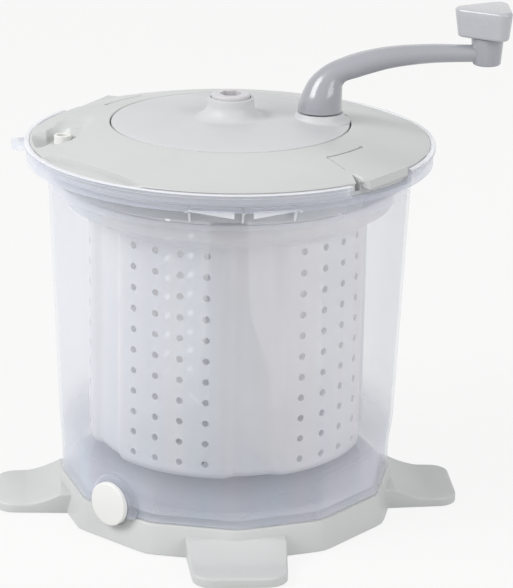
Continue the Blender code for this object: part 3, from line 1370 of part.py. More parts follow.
def gear_points(teeth, turn):
    """Straight-flanked teeth; turn is the angle of the first tooth's middle."""
    pitch_radius = GEAR_MODULE * teeth / 2
    tip = pitch_radius + ADDENDUM_SHARE * GEAR_MODULE
    root = pitch_radius - DEDENDUM_SHARE * GEAR_MODULE
    pitch = 360 / teeth
    steps = (
        (root, -TOOTH_ROOT_SHARE), (tip, -TOOTH_TIP_SHARE),
        (tip, TOOTH_TIP_SHARE), (root, TOOTH_ROOT_SHARE),
    )
    points = []
    for tooth in range(teeth):
        for radius, share in steps:
            angle = math.radians(turn + pitch * (tooth + share / 2))
            points.append((radius * math.cos(angle), radius * math.sin(angle)))
    return points


def make_gears(white, metal):
    top = GEAR_BOTTOM + GEAR_THICKNESS
    shaft_hole = circle_points(SHAFT_RADIUS + SEAT_GAP, ROUND_STEPS)
    pinion = flat_mesh([gear_points(PINION_TEETH, 0.0), shaft_hole], GEAR_BOTTOM, top)
    link("drive_pinion", pinion, white)

    hub_hole = circle_points(CRANK_HUB_RADIUS + SEAT_GAP, ROUND_STEPS)
    gear = flat_mesh([gear_points(CRANK_TEETH, 0.0), hub_hole], GEAR_BOTTOM, top)
    gear.transform(Matrix.Translation((CRANK_AXIS, 0.0, 0.0)))
    link("crank_gear", gear, white)

    place = (CRANK_AXIS, 0.0)
    hub_low = PAN_FLOOR_TOP - PAN_FLOOR - PAN_HUB_DROP + PAN_FLOOR + 2 * SEAT_GAP
    shoulder = LOWER_BUSH_TOP + SEAT_GAP
    collar = GEAR_BOTTOM - SEAT_GAP
    hub = link("crank_hub", turned_mesh([
        (0.0, CRANK_HUB_TOP), (CRANK_HUB_RADIUS, CRANK_HUB_TOP), (CRANK_HUB_RADIUS, collar),
        (CRANK_HUB_RADIUS + SHAFT_COLLAR, collar), (CRANK_HUB_RADIUS + SHAFT_COLLAR, shoulder),
        (CRANK_JOURNAL_RADIUS, shoulder), (CRANK_JOURNAL_RADIUS, hub_low), (0.0, hub_low),
    ], ROUND_STEPS, place, on_axis=True), metal)
    socket = flat_mesh(
        [hex_points(CRANK_HEX + HEX_PLAY, place)], CRANK_SOCKET_FLOOR, CRANK_HUB_TOP + OVERRUN)
    combine(hub, socket, "DIFFERENCE", "socket")


def make_shaft(white):
    """Hex foot, round journal with a collar under the pinion, socketed head."""
    hex_top = PAN_FLOOR_TOP - PAN_FLOOR - PAN_HUB_DROP - FUSE
    collar_low = LOWER_BUSH_TOP + SEAT_GAP
    collar_high = GEAR_BOTTOM - SEAT_GAP
    shaft = link("drive_shaft", turned_mesh([
        (0.0, SHAFT_TOP),
        (SHAFT_HEAD_RADIUS - SHAFT_HEAD_CHAMFER, SHAFT_TOP),
        (SHAFT_HEAD_RADIUS, SHAFT_TOP - SHAFT_HEAD_CHAMFER),
        (SHAFT_HEAD_RADIUS, SHAFT_HEAD_BOTTOM),
        (SHAFT_RADIUS, SHAFT_HEAD_BOTTOM),
        (SHAFT_RADIUS, collar_high),
        (SHAFT_COLLAR_RADIUS, collar_high),
        (SHAFT_COLLAR_RADIUS, collar_low),
        (SHAFT_RADIUS, collar_low),
        (SHAFT_RADIUS, hex_top),
        (0.0, hex_top),
    ], ROUND_STEPS, on_axis=True), white)
    foot = flat_mesh([hex_points(SHAFT_HEX)], SHAFT_BOTTOM, hex_top + FUSE)
    combine(shaft, foot, "UNION", "hex_foot")
    socket = flat_mesh([hex_points(SOCKET_HEX)], SHAFT_TOP - SOCKET_DEPTH, SHAFT_TOP + OVERRUN)
    combine(shaft, socket, "DIFFERENCE", "socket")


def make_bushes(material):
    bore = SHAFT_RADIUS + SHAFT_BUSH_BORE_GAP
    floor = PAN_FLOOR_TOP - PAN_FLOOR
    upper = ring_profile(UPPER_BUSH_RADIUS, bore, UPPER_BUSH_BOTTOM, UPPER_BUSH_TOP - SEAT_GAP)
    link("shaft_bush_upper", turned_mesh(upper, ROUND_STEPS), material)
    low = floor - PAN_HUB_DROP
    lower = ring_profile(bore + SHAFT_BUSH_WALL, bore, low, LOWER_BUSH_TOP)
    link("shaft_bush_lower", turned_mesh(lower, ROUND_STEPS), material)
    place = (CRANK_AXIS, 0.0)
    bore = CRANK_HUB_RADIUS + SEAT_GAP
    outer = bore + CRANK_BUSH_WALL
    upper = ring_profile(outer, bore, CRANK_BUSH_BOTTOM, CRANK_HUB_TOP - SEAT_GAP)
    link("crank_bush_upper", turned_mesh(upper, ROUND_STEPS, place), material)
    bore = CRANK_JOURNAL_RADIUS + SEAT_GAP
    low = floor - PAN_HUB_DROP + PAN_FLOOR + SEAT_GAP
    lower = ring_profile(bore + CRANK_BUSH_WALL, bore, low, LOWER_BUSH_TOP)
    link("crank_bush_lower", turned_mesh(lower, ROUND_STEPS, place), material)


def screw_mesh(place, seat, length):
    """A pan-head screw pointing up, its head under a seat."""
    head = seat - SEAT_GAP
    return turned_mesh([
        (0.0, head + length), (SCREW_RADIUS, head + length), (SCREW_RADIUS, head),
        (SCREW_HEAD_RADIUS, head), (SCREW_HEAD_RADIUS - SCREW_RADIUS / 3, head - SCREW_HEAD),
        (0.0, head - SCREW_HEAD),
    ], SCREW_SIDES, place, on_axis=True)


def make_screws(material):
    ceiling = PLINTH_TOP - PLATE_THICKNESS
    floor = PAN_FLOOR_TOP - PAN_FLOOR
    sides = ("front_right", "back_right", "back_left", "front_left")
    for side, azimuth in zip(sides, TUB_SCREW_AZIMUTHS):
        place = polar(TUB_SCREW_RING, azimuth)[:2]
        link("base_screw_" + side, screw_mesh(place, ceiling, BASE_SCREW_LENGTH), material)
    sides = ("front", "right", "back", "left")
    for side, azimuth in zip(sides, LID_SCREW_AZIMUTHS):
        place = polar(LID_SCREW_RING, azimuth)[:2]
        link("housing_screw_" + side, screw_mesh(place, floor, SCREW_LENGTH), material)


def make_arm(material, steel):
    """The crank arm sweeps up and out of its post and ends in the knob's neck."""
    rings = []
    for low, high in ARM_SHARES:
        inner = Vector((CRANK_AXIS + low[0] * POST_RADIUS, 0.0, POST_BOTTOM + low[1] * POST_RADIUS))
        outer = Vector((CRANK_AXIS + high[0] * POST_RADIUS, 0.0, POST_BOTTOM + high[1] * POST_RADIUS))
        centre = (inner + outer) / 2
        reach = (inner - outer) / 2
        side = Vector((0.0, reach.length, 0.0))
        ring = []
        for i in range(CRANK_SIDES):
            angle = 2 * math.pi * i / CRANK_SIDES
            ring.append(centre + reach * math.cos(angle) + side * math.sin(angle))
        rings.append(ring)
    arm = link("crank_arm", skin(rings), material)
    neck = turned_mesh([
        (0.0, NECK_TOP), (NECK_TOP_RADIUS, NECK_TOP), (NECK_RADIUS, NECK_BOTTOM + NECK_CHAMFER),
        (NECK_RADIUS - NECK_CHAMFER, NECK_BOTTOM), (0.0, NECK_BOTTOM),
    ], CRANK_SIDES + 4, (KNOB_AXIS, 0.0), on_axis=True)
    combine(arm, neck, "UNION", "neck")
    pocket = flat_mesh(
        [hex_points(CRANK_HEX + 2 * SEAT_GAP, (CRANK_AXIS, 0.0))],
        POST_BOTTOM - OVERRUN, CRANK_HEX_TOP + SEAT_GAP)
    combine(arm, pocket, "DIFFERENCE", "hex_pocket")
    step = NECK_BOTTOM + PIN_HEAD + PIN_HEAD_SEAT + SEAT_GAP
    head_bore = PIN_HEAD_RADIUS + SEAT_GAP
    pin_bore = PIN_RADIUS + SEAT_GAP
    stepped = turned_mesh([
        (0.0, NECK_TOP + OVERRUN), (pin_bore, NECK_TOP + OVERRUN), (pin_bore, step),
        (head_bore, step), (head_bore, NECK_BOTTOM - OVERRUN), (0.0, NECK_BOTTOM - OVERRUN),
    ], SMALL_STEPS, (KNOB_AXIS, 0.0), on_axis=True)
    combine(arm, stepped, "DIFFERENCE", "pin_hole")
    insert = flat_mesh(
        [hex_points(CRANK_HEX, (CRANK_AXIS, 0.0))], CRANK_HEX_BOTTOM, CRANK_HEX_TOP)
    link("crank_hex", insert, steel)


def knob_ring(scale, height, inset=0.0):
    """A rounded triangle of three corner arcs about the knob's axis."""
    ring = []
    for corner in range(3):
        heading = math.radians(KNOB_TURN + 120 * corner)
        reach = KNOB_CORNER_REACH * scale
        centre = Vector((
            KNOB_AXIS + reach * math.cos(heading), reach * math.sin(heading), height))
        radius = KNOB_CORNER_RADIUS * scale - inset
        for i in range(KNOB_ARC_STEPS + 1):
            angle = heading + math.radians(60 * (2 * i / KNOB_ARC_STEPS - 1))
            ring.append(centre + Vector((
                radius * math.cos(angle), radius * math.sin(angle), 0.0)))
    return ring


def make_knob(material, steel):
    round_off = KNOB_ROUND
    slight = round_off * (1 - math.cos(math.radians(45)))
    rings = [
        knob_ring(KNOB_DRAFT_SHARE, KNOB_BOTTOM, round_off),
        knob_ring(KNOB_DRAFT_SHARE, KNOB_BOTTOM + slight, slight),
        knob_ring(KNOB_DRAFT_SHARE, KNOB_BOTTOM + round_off),
        knob_ring(1.0, KNOB_TOP - round_off),
        knob_ring(1.0, KNOB_TOP - slight, slight),
        knob_ring(1.0, KNOB_TOP, round_off),
    ]
    knob = link("knob", skin(rings), material)
    place = (KNOB_AXIS, 0.0)
    bore = rod_mesh(
        PIN_RADIUS + SEAT_GAP, KNOB_BOTTOM - OVERRUN, PIN_TOP + SEAT_GAP, SMALL_STEPS, place)
    combine(knob, bore, "DIFFERENCE", "pin_bore")
    low = NECK_BOTTOM + PIN_HEAD_SEAT
    pin = turned_mesh([
        (0.0, PIN_TOP), (PIN_RADIUS, PIN_TOP), (PIN_RADIUS, low + PIN_HEAD),
        (PIN_HEAD_RADIUS, low + PIN_HEAD), (PIN_HEAD_RADIUS, low), (0.0, low),
    ], SMALL_STEPS, place, on_axis=True)
    link("knob_pin", pin, steel)


clear_scene()
PARTS = new_collection("hand_washing_machine")
CUTTERS = new_collection("cutters")

grey = make_material("grey_plastic", (0.60, 0.61, 0.63), 0.35)
base_grey = make_material("base_plastic", (0.56, 0.56, 0.56), 0.45)
frosted = make_material("frosted_plastic", (0.82, 0.85, 0.92), 0.30, transmission=0.8)
milky = make_material("milky_plastic", (0.86, 0.87, 0.90), 0.40, transmission=0.3)
white = make_material("white_plastic", (0.80, 0.80, 0.79), 0.40)
rubber = make_material("seal_rubber", (0.10, 0.10, 0.10), 0.80)
steel = make_material("steel", (0.62, 0.62, 0.60), 0.30, metallic=1.0)

make_base(base_grey)
make_pads(rubber)
make_tub(frosted)
make_rim(frosted)
make_flange_ribs(frosted)
make_drain_collar(frosted)
make_drain(white, rubber)
make_spindle(steel, white, frosted)
make_basket(milky)
make_basket_rim(milky)
make_column(milky)
make_lid(grey)
make_inlet(white)
make_cover(grey)
make_pan(milky)
make_gears(white, grey)
make_shaft(grey)
make_bushes(white)
make_screws(steel)
make_arm(grey, steel)
make_knob(grey, steel)
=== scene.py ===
"""Looks of the hand-cranked washing machine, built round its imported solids.
Metres, +Z up. Azimuths turn from the front (-Y) towards +X."""

import math

import bmesh
import bpy
from mathutils import Matrix, Vector


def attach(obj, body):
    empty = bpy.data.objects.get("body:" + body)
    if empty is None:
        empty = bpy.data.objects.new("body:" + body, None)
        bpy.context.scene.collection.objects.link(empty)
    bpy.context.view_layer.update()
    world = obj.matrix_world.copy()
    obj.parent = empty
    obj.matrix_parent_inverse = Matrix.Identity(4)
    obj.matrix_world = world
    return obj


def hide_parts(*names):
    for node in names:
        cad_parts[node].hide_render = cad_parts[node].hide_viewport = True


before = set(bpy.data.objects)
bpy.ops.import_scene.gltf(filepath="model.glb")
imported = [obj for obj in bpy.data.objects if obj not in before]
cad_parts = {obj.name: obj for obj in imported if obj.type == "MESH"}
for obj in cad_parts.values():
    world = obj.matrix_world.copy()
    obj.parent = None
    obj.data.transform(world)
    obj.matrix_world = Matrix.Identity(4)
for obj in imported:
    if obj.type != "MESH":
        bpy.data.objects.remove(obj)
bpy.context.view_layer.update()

SEAT_GAP = 0.0003
FUSE = 0.0006
OVERRUN = 0.004

# Base
SIDES, CORNER_EASE = 12, 1.6
PLINTH_FOOT_RADIUS, PLINTH_TOP_RADIUS = 0.1322, 0.1272
PLINTH_LIFT, PLINTH_TOP = 0.0010, 0.0231
PLINTH_WALL, PLATE, PLATE_HOLE = 0.0030, 0.0030, 0.010
FOOT_REACH, FOOT_ROOT = 0.1760, 0.1180
FOOT_TIP_HALF, FOOT_ROOT_HALF = 0.0335, 0.0370
FOOT_CORNER, FOOT_EDGE = 0.0140, 0.0016
FOOT_TIP_HEIGHT, FOOT_ROOT_HEIGHT = 0.0080, 0.0165
FOOT_FLAT_END, FOOT_RAMP_TOP = 0.1540, 0.1270
FOOT_OVERLAP, FOOT_STATIONS = 0.008, 51
PAD_PLACE, PAD_RADIUS, PAD_THICKNESS = 0.1590, 0.0110, 0.0030

# Tub
TUB_FOOT_RADIUS = 0.1256
TUB_BOTTOM, TUB_FLOOR_TOP = 0.0234, 0.0274
TUB_ROUND_HEIGHT = 0.0760
TUB_LOW_RADIUS, TUB_LOW_HEIGHT, TUB_HIGH_RADIUS = 0.1256, 0.0300, 0.1352
TUB_WALL = 0.0023
WALL_TOP, FLANGE_BOTTOM, FLANGE_RADIUS, TUB_LEDGE = 0.2720, 0.2702, 0.1502, 0.2744
LIP_TOP, LIP_THICKNESS, LIP_BEAD, LIP_BEAD_HEIGHT = 0.2835, 0.0020, 0.0016, 0.0029
SCREW_RING, SCREW_HOLE, SCREW_AZIMUTHS = 0.0980, 0.0021, (45, 135, 225, 315)
GUSSET_ANGLES, GUSSET_THICKNESS, GUSSET_BOTTOM = (-15.6, 0.0, 15.6), 0.0016, 0.2590
LUG_START, LUG_END, LUG_DEPTH, LUG_INSET = 2.6, 16.0, 0.0046, 0.0012
TAB_REACH, TAB_WIDTH, TAB_TOP, TAB_THICKNESS = 0.1612, 0.0300, 0.2815, 0.0032

# Drain
DRAIN_AZIMUTH, DRAIN_HEIGHT = -45, 0.0316
DRAIN_FACE, DRAIN_RADIUS, DRAIN_SEAT, DRAIN_SEAT_RADIUS = 0.1272, 0.0214, 0.0034, 0.0128
CAP_RADIUS, CAP_THICKNESS = 0.0164, 0.0042
PLUG_RADIUS, PLUG_BACK, STEM_RADIUS, STEM_END, DRAIN_BORE = 0.0122, 0.0026, 0.0056, -0.0060, 0.0060

# Basket
BASKET_PANELS, BASKET_TURN, BASKET_RADIUS, BASKET_WALL = 5, -28.6, 0.1046, 0.0018
FLUTE_DEPTH, FLUTE_HALF, FLUTE_BLEND = 0.0045, 13.0, 6.0
BASKET_BOTTOM, BASKET_FLOOR, BASKET_CORNER = 0.0530, 0.0022, 0.0070
SHOULDER_BOTTOM, SHOULDER_TOP = 0.2310, 0.2400
RIM_RADIUS, RIM_TOP, RIM_WALL = 0.1220, 0.2530, 0.0022
HOLE_RADIUS, HOLE_ROWS, HOLE_PITCH, HOLE_BOTTOM = 0.0027, 11, 0.0159, 0.0655
HOLE_OFFSETS = (-16.2, -5.4, 5.4, 16.2)
HUB_HOLE, FLOOR_START = 0.0124, 0.080
SLOTS, SLOT_START, SLOT_END, SLOT_HALF, SLOT_CORNER = 10, 0.045, 0.086, 0.00225, 0.002

# Lid
LID_RADIUS, LID_BOTTOM, LID_RIM_HEIGHT = 0.1476, 0.2747, 0.2844
LID_INNER_RADIUS, LID_INNER_TOP, LID_SKIN = 0.0889, 0.2966, 0.0025
LID_CREASE_INSET, DOME_POWER, DOME_RINGS = 0.0016, 1.35, 40
LID_EDGE_WALL, LID_UNDER_START = 0.0024, 0.094
LEDGE_TOP, LEDGE_THICKNESS, LEDGE_WIDTH = 0.2910, 0.0024, 0.0046
SPIGOT_RADIUS, SPIGOT_WALL, SPIGOT_BOTTOM, SPIGOT_TAPER = 0.1322, 0.0019, 0.2580, 0.0075
CHORDS = ((-49.5, 0.1360), (130.5, 0.1360), (238.5, 0.1384))
CHORD_STEP, CHORD_FADE = 0.0030, 0.0030
WING_START, WING_END, WING_TANGENT, WING_DISTANCE = 35.5, 53.5, 48.5, 0.1498
WING_TOP, WING_BOTTOM, WING_TURNS = 0.2861, 0.2797, (0, 180)
BACK_WING_CHORD, BACK_WING_DISTANCE, BACK_WING_REACH = 238.5, 0.1384, 0.1532
NOTCH_START, NOTCH_END, STEP_ANGLE = 30.5, 54.3, 0.2
SLIT_RADIUS, SLIT_WIDTH, SLIT_START, SLIT_END = 0.1098, 0.0015, 34.3, 55.0
INLET_AZIMUTH, LID_ROOF, EDGE_UNDERCUT = -90, 0.2768, 0.0026
NOTCH_CORNERS = ((0.1372, 34.6), (0.1560, 31.2), (0.1560, 35.1))
WELL_DEPTH, WELL_CENTRE, WELL_HALVES = 0.0092, (-0.1245, -0.0085), (0.0165, 0.0245)
SLOPE_DEPTH, SLOPE_CENTRE, SLOPE_HALVES = 0.0030, (-0.1150, 0.0160), (0.0150, 0.0240)
LID_SCREW_RING, LID_SCREW_AZIMUTHS = 0.1120, (5, 120, 185, 300)
LID_BOSS_RADIUS, LID_BOSS_BOTTOM, PILOT_BOTTOM, PILOT_TOP = 0.0052, 0.2667, 0.2624, 0.2759
INLET_PLACE, INLET_RADIUS, INLET_BORE = 0.1234, 0.0064, 0.0042
INLET_TOP, INLET_BOTTOM = 0.2868, 0.2660

# Gear cover, shaft and crank
COVER_RADIUS, COVER_EDGE_TOP, COVER_SKIN, COVER_CROWN = 0.0879, 0.2969, 0.0026, 0.3005
BOSS_RADIUS, BOSS_TOP, BOSS_FILLET, BOSS_BORE = 0.0172, 0.3152, 0.0105, 0.0149
SHAFT_SLEEVE, SHAFT_SLEEVE_BOTTOM, SHAFT_SLEEVE_TOP, SLEEVE_WALL = 0.0117, 0.2950, 0.3060, 0.0024
BOSS_HOLLOW, BOSS_CEILING, CRANK_SLEEVE_BOTTOM = 0.0277, 0.2971, 0.2930
HOOK_WIDTH, HOOK_AZIMUTHS = 0.0080, (30, 150, 210, 330)
CRANK_AXIS, KNOB_AXIS = 0.0660, 0.1887
COLLAR_FOOT_RADIUS, COLLAR_RADIUS, COLLAR_TOP, COLLAR_BORE = 0.0212, 0.0176, 0.3036, 0.0140
SHAFT_RADIUS, SHAFT_HEAD_RADIUS, SHAFT_HEAD_BOTTOM, SHAFT_TOP = 0.0090, 0.0143, 0.3065, 0.3178
SHAFT_RING, SHAFT_RING_TOP, SHAFT_RING_BOTTOM, SHAFT_END = 0.0112, 0.2697, 0.2685, 0.2574
HEX_SIZE, HEX_BOTTOM, SOCKET_SIZE, SOCKET_DEPTH = 0.0140, 0.2320, 0.0148, 0.0080
POST_RADIUS, POST_BOTTOM, POST_POCKET_TOP = 0.0164, 0.3047, 0.3183
NECK_BOTTOM, NECK_TOP, NECK_RADIUS, NECK_TOP_RADIUS = 0.3390, 0.3598, 0.0104, 0.0121
PIN_BORE, PIN_HEAD, PIN_HEAD_TOP = 0.0033, 0.0055, 0.3439
KNOB_BOTTOM, KNOB_TOP, KNOB_BORE_TOP = 0.3602, 0.3820, 0.3743
KNOB_REACH, KNOB_CORNER, KNOB_TURN, KNOB_DRAFT, KNOB_ROUND = 0.0166, 0.0080, 176, 0.90, 0.0026
ARM_SHARES = (
    ((0.996, 0.0), (-0.996, 0.0)),
    ((0.990, 0.55), (-0.955, 0.40)),
    ((0.990, 0.97), (-0.800, 0.83)),
    ((1.010, 1.17), (-0.475, 1.44)),
    ((1.180, 1.37), (0.110, 1.99)),
    ((1.670, 1.52), (0.840, 2.37)),
    ((2.200, 1.68), (1.830, 2.70)),
    ((3.280, 1.96), (3.160, 2.94)),
    ((4.860, 2.16), (4.830, 3.035)),
    ((6.400, 2.21), (6.410, 3.010)),
    ((7.250, 2.20), (7.260, 2.990)),
)


def polar(radius, azimuth, height=0.0):
    angle = math.radians(azimuth)
    return Vector((radius * math.sin(angle), -radius * math.cos(angle), height))


def smoothstep(value):
    value = min(max(value, 0.0), 1.0)
    return value * value * (3 - 2 * value)


def rounded(points, steps=4, closed=True):
    """A 2-D outline whose corners (x, y, radius) are turned into arcs."""
    out = []
    count = len(points)
    for i, (x, y, radius) in enumerate(points):
        corner = Vector((x, y))
        if not radius or (not closed and i in (0, count - 1)):
            out.append((x, y))
            continue
        before = Vector(points[i - 1][:2]) - corner
        after = Vector(points[(i + 1) % count][:2]) - corner
        angle = before.angle(after)
        if angle > math.pi - 0.02:
            out.append((x, y))
            continue
        tangent = min(radius / math.tan(angle / 2), 0.49 * before.length, 0.49 * after.length)
        radius = tangent * math.tan(angle / 2)
        before.normalize()
        after.normalize()
        centre = corner + (before + after).normalized() * (radius / math.sin(angle / 2))
        first = corner + before * tangent - centre
        last = corner + after * tangent - centre
        sweep = first.angle(last)
        for k in range(steps + 1):
            share = k / steps
            mix = first * math.sin((1 - share) * sweep) + last * math.sin(share * sweep)
            out.append(tuple(centre + mix / math.sin(sweep)))
    return out


def finish_mesh(work, name, sharp=40):
    bmesh.ops.recalc_face_normals(work, faces=work.faces)
    mesh = bpy.data.meshes.new(name)
    work.to_mesh(mesh)
    work.free()
    mesh.shade_smooth()
    mesh.set_sharp_from_angle(angle=math.radians(sharp))
    return mesh


def skin(rings, closed=False, sharp=40):
    """A mesh through rings of points; open stacks are capped at both ends."""
    work = bmesh.new()
    rows = [[work.verts.new(point) for point in ring] for ring in rings]
    count = len(rows[0])
    pairs = list(zip(rows, rows[1:]))
    if closed:
        pairs.append((rows[-1], rows[0]))
    for low, high in pairs:
        for i in range(count):
            j = (i + 1) % count
            work.faces.new((low[i], low[j], high[j], high[i]))
    if not closed:
        work.faces.new(rows[0])
        work.faces.new(rows[-1])
    return finish_mesh(work, "skin", sharp)


def lathe(profile, steps, place=(0.0, 0.0), on_axis=False, sharp=40):
    """Turn a profile about a vertical axis; on_axis ends it on the axis."""
    rings = []
    inner = profile[1:-1] if on_axis else profile
    for radius, height in inner:
        rings.append([
            Vector((
                place[0] + radius * math.cos(2 * math.pi * i / steps),
                place[1] + radius * math.sin(2 * math.pi * i / steps), height))
            for i in range(steps)
        ])
    return skin(rings, closed=not on_axis, sharp=sharp)


def rod(radius, bottom, top, sides=24, place=(0.0, 0.0)):
    work = bmesh.new()
    bmesh.ops.create_cone(
        work, cap_ends=True, segments=sides, radius1=radius, radius2=radius, depth=top - bottom,
        matrix=Matrix.Translation((place[0], place[1], (top + bottom) / 2)))
    return finish_mesh(work, "rod")


def block(low, high):
    work = bmesh.new()
    centre = [(a + b) / 2 for a, b in zip(low, high)]
    size = [b - a for a, b in zip(low, high)]
    bmesh.ops.create_cube(
        work, size=1.0, matrix=Matrix.Translation(centre) @ Matrix.Diagonal((*size, 1.0)))
    return finish_mesh(work, "block")


def plate(outline, bottom, top):
    """Extrude a flat outline of (x, y)."""
    return skin([[Vector((x, y, z)) for x, y in outline] for z in (bottom, top)])


def upright(outline, thickness, azimuth):
    """A plate with a (radius, height) outline, standing along an azimuth."""
    half = thickness / 2
    rings = [[Vector((x, side, z)) for x, z in outline] for side in (-half, half)]
    mesh = skin(rings)
    return turn(mesh, azimuth - 90)


def turn(mesh, azimuth):
    mesh.transform(Matrix.Rotation(math.radians(azimuth), 4, "Z"))
    return mesh


def radial(mesh, azimuth, distance, height):
    """Lay a mesh built along +Z outwards along an azimuth."""
    spin = polar(1.0, azimuth).to_track_quat("Z", "Y").to_matrix().to_4x4()
    mesh.transform(Matrix.Translation(polar(distance, azimuth, height)) @ spin)
    return mesh


def merged(meshes):
    work = bmesh.new()
    for mesh in meshes:
        work.from_mesh(mesh)
    result = bpy.data.meshes.new("merged")
    work.to_mesh(result)
    work.free()
    return result


def hexagon(across_flats, place=(0.0, 0.0)):
    radius = across_flats / math.sqrt(3)
    return [
        (place[0] + radius * math.cos(math.radians(60 * i)),
         place[1] + radius * math.sin(math.radians(60 * i))) for i in range(6)
    ]


def placed(name, data):
    """A new object, linked to the scene."""
    item = bpy.data.objects.new(name, data)
    bpy.context.scene.collection.objects.link(item)
    return item


def carve(mesh, steps, sharp=40):
    """Apply Booleans (operation, mesh) in turn."""
    item = placed("work", mesh)
    tools = []
    for operation, tool_mesh in steps:
        tool = placed("tool", tool_mesh)
        tools.append(tool)
        modifier = item.modifiers.new("cut", "BOOLEAN")
        modifier.operation = operation
        modifier.solver = "EXACT"
        modifier.object = tool
    bpy.context.view_layer.update()
    graph = bpy.context.evaluated_depsgraph_get()
    result = bpy.data.meshes.new_from_object(item.evaluated_get(graph))
    for thing in (item, *tools):
        bpy.data.objects.remove(thing, do_unlink=True)
    result.materials.clear()
    result.shade_smooth()
    result.set_sharp_from_angle(angle=math.radians(sharp))
    return result


def piece(name, mesh, body, material, nodes=()):
    mesh.name = name
    item = placed(name, mesh)
    mesh.materials.append(material)
    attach(item, body)
    if nodes:
        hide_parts(*nodes)
    return item


# Materials

MOTTLING, PLASTIC_IOR, COAT_ROUGHNESS, GRAIN_DEPTH = 0.03, 1.49, 0.08, 0.0002


def add(tree, kind, **values):
    node = tree.nodes.new(kind)
    for key, value in values.items():
        if hasattr(node, key):
            setattr(node, key, value)
        else:
            node.inputs[key.replace("_", " ")].default_value = value
    return node


def new_material(name):
    material = bpy.data.materials.new(name)
    material.use_nodes = True
    tree = material.node_tree
    return material, tree, tree.nodes["Principled BSDF"]


def noise(tree, coordinates, scale, detail=3.0, rough=0.5):
    node = add(tree, "ShaderNodeTexNoise", Scale=scale, Detail=detail, Roughness=rough)
    tree.links.new(coordinates, node.inputs["Vector"])
    return node.outputs["Fac"]


def ramp(tree, fac, low, high, start=0.3, end=0.7):
    node = tree.nodes.new("ShaderNodeValToRGB")
    node.color_ramp.elements[0].position = start
    node.color_ramp.elements[1].position = end
    node.color_ramp.elements[0].color = (*low, 1.0)
    node.color_ramp.elements[1].color = (*high, 1.0)
    tree.links.new(fac, node.inputs["Fac"])
    return node.outputs["Color"]


def spread(tree, fac, low, high, start=0.3, end=0.7, **values):
    node = add(tree, "ShaderNodeMapRange", From_Min=start, From_Max=end, To_Min=low,
               To_Max=high, **values)
    tree.links.new(fac, node.inputs["Value"])
    return node.outputs["Result"]


def stretched(tree, coordinates, share):
    """Coordinates scaled along Z, so that a texture runs in upright bands or in rings."""
    node = add(tree, "ShaderNodeMapping", Scale=(1.0, 1.0, share))
    tree.links.new(coordinates, node.inputs["Vector"])
    return node.outputs["Vector"]


def shade(colour, amount):
    return tuple(min(1.0, c * amount) for c in colour)


def plastic(name, colour, roughness, grain=900.0, bump=0.06, alpha=None, specular=0.5,
            edge_alpha=None, coat=0.0, streaks=None, low_alpha=None):
    """Moulded plastic: mottled colour, grain in the bump, uneven gloss.

    streaks names two tints that run down the wall in soft upright bands;
    low_alpha (top, bottom, gain) makes a clear wall denser towards its foot."""
    material, tree, shader = new_material(name)
    where = tree.nodes.new("ShaderNodeTexCoord").outputs["Object"]
    mottling = noise(tree, where, 14.0, 4.0)
    colour_out = ramp(tree, mottling, shade(colour, 1 - MOTTLING), shade(colour, 1 + MOTTLING))
    if streaks:
        bands = noise(tree, stretched(tree, where, 0.05), 26.0, 2.0)
        tint = ramp(tree, bands, *streaks, start=0.40, end=0.60)
        blend = add(
            tree, "ShaderNodeMix", data_type="RGBA", blend_type="MULTIPLY", Factor=1.0)
        tree.links.new(colour_out, blend.inputs["A"])
        tree.links.new(tint, blend.inputs["B"])
        colour_out = blend.outputs["Result"]
    tree.links.new(colour_out, shader.inputs["Base Color"])
    smears = noise(tree, where, 38.0, 5.0, 0.6)
    tree.links.new(
        spread(tree, smears, roughness * 0.88, roughness * 1.14), shader.inputs["Roughness"])
    texture = noise(tree, where, grain, 2.0)
    bump_node = add(tree, "ShaderNodeBump", Strength=bump, Distance=GRAIN_DEPTH)
    tree.links.new(texture, bump_node.inputs["Height"])
    tree.links.new(bump_node.outputs["Normal"], shader.inputs["Normal"])
    shader.inputs["Specular IOR Level"].default_value = specular
    shader.inputs["IOR"].default_value = PLASTIC_IOR
    if coat:
        shader.inputs["Coat Weight"].default_value = coat
        shader.inputs["Coat Roughness"].default_value = COAT_ROUGHNESS
    if alpha is not None and edge_alpha is None:
        shader.inputs["Alpha"].default_value = alpha
    elif alpha is not None:
        weight = add(tree, "ShaderNodeLayerWeight", Blend=0.35)
        alpha_out = spread(tree, weight.outputs["Facing"], alpha, edge_alpha, 0.0, 1.0)
        if low_alpha:
            height = tree.nodes.new("ShaderNodeSeparateXYZ")
            tree.links.new(where, height.inputs["Vector"])
            top, bottom, gain = low_alpha
            rise = spread(tree, height.outputs["Z"], gain, 0.0, bottom, top,
                          interpolation_type="SMOOTHSTEP")
            total = add(tree, "ShaderNodeMath", operation="ADD")
            tree.links.new(alpha_out, total.inputs[0])
            tree.links.new(rise, total.inputs[1])
            alpha_out = total.outputs["Value"]
        tree.links.new(alpha_out, shader.inputs["Alpha"])
    return material


def metal(name, colour, roughness):
    material, tree, shader = new_material(name)
    where = tree.nodes.new("ShaderNodeTexCoord").outputs["Object"]
    lines = noise(tree, stretched(tree, where, 14.0), 160.0, 3.0)
    tree.links.new(
        ramp(tree, lines, shade(colour, 0.92), shade(colour, 1.06)), shader.inputs["Base Color"])
    tree.links.new(
        spread(tree, lines, roughness * 0.8, roughness * 1.25), shader.inputs["Roughness"])
    shader.inputs["Metallic"].default_value = 1.0
    return material


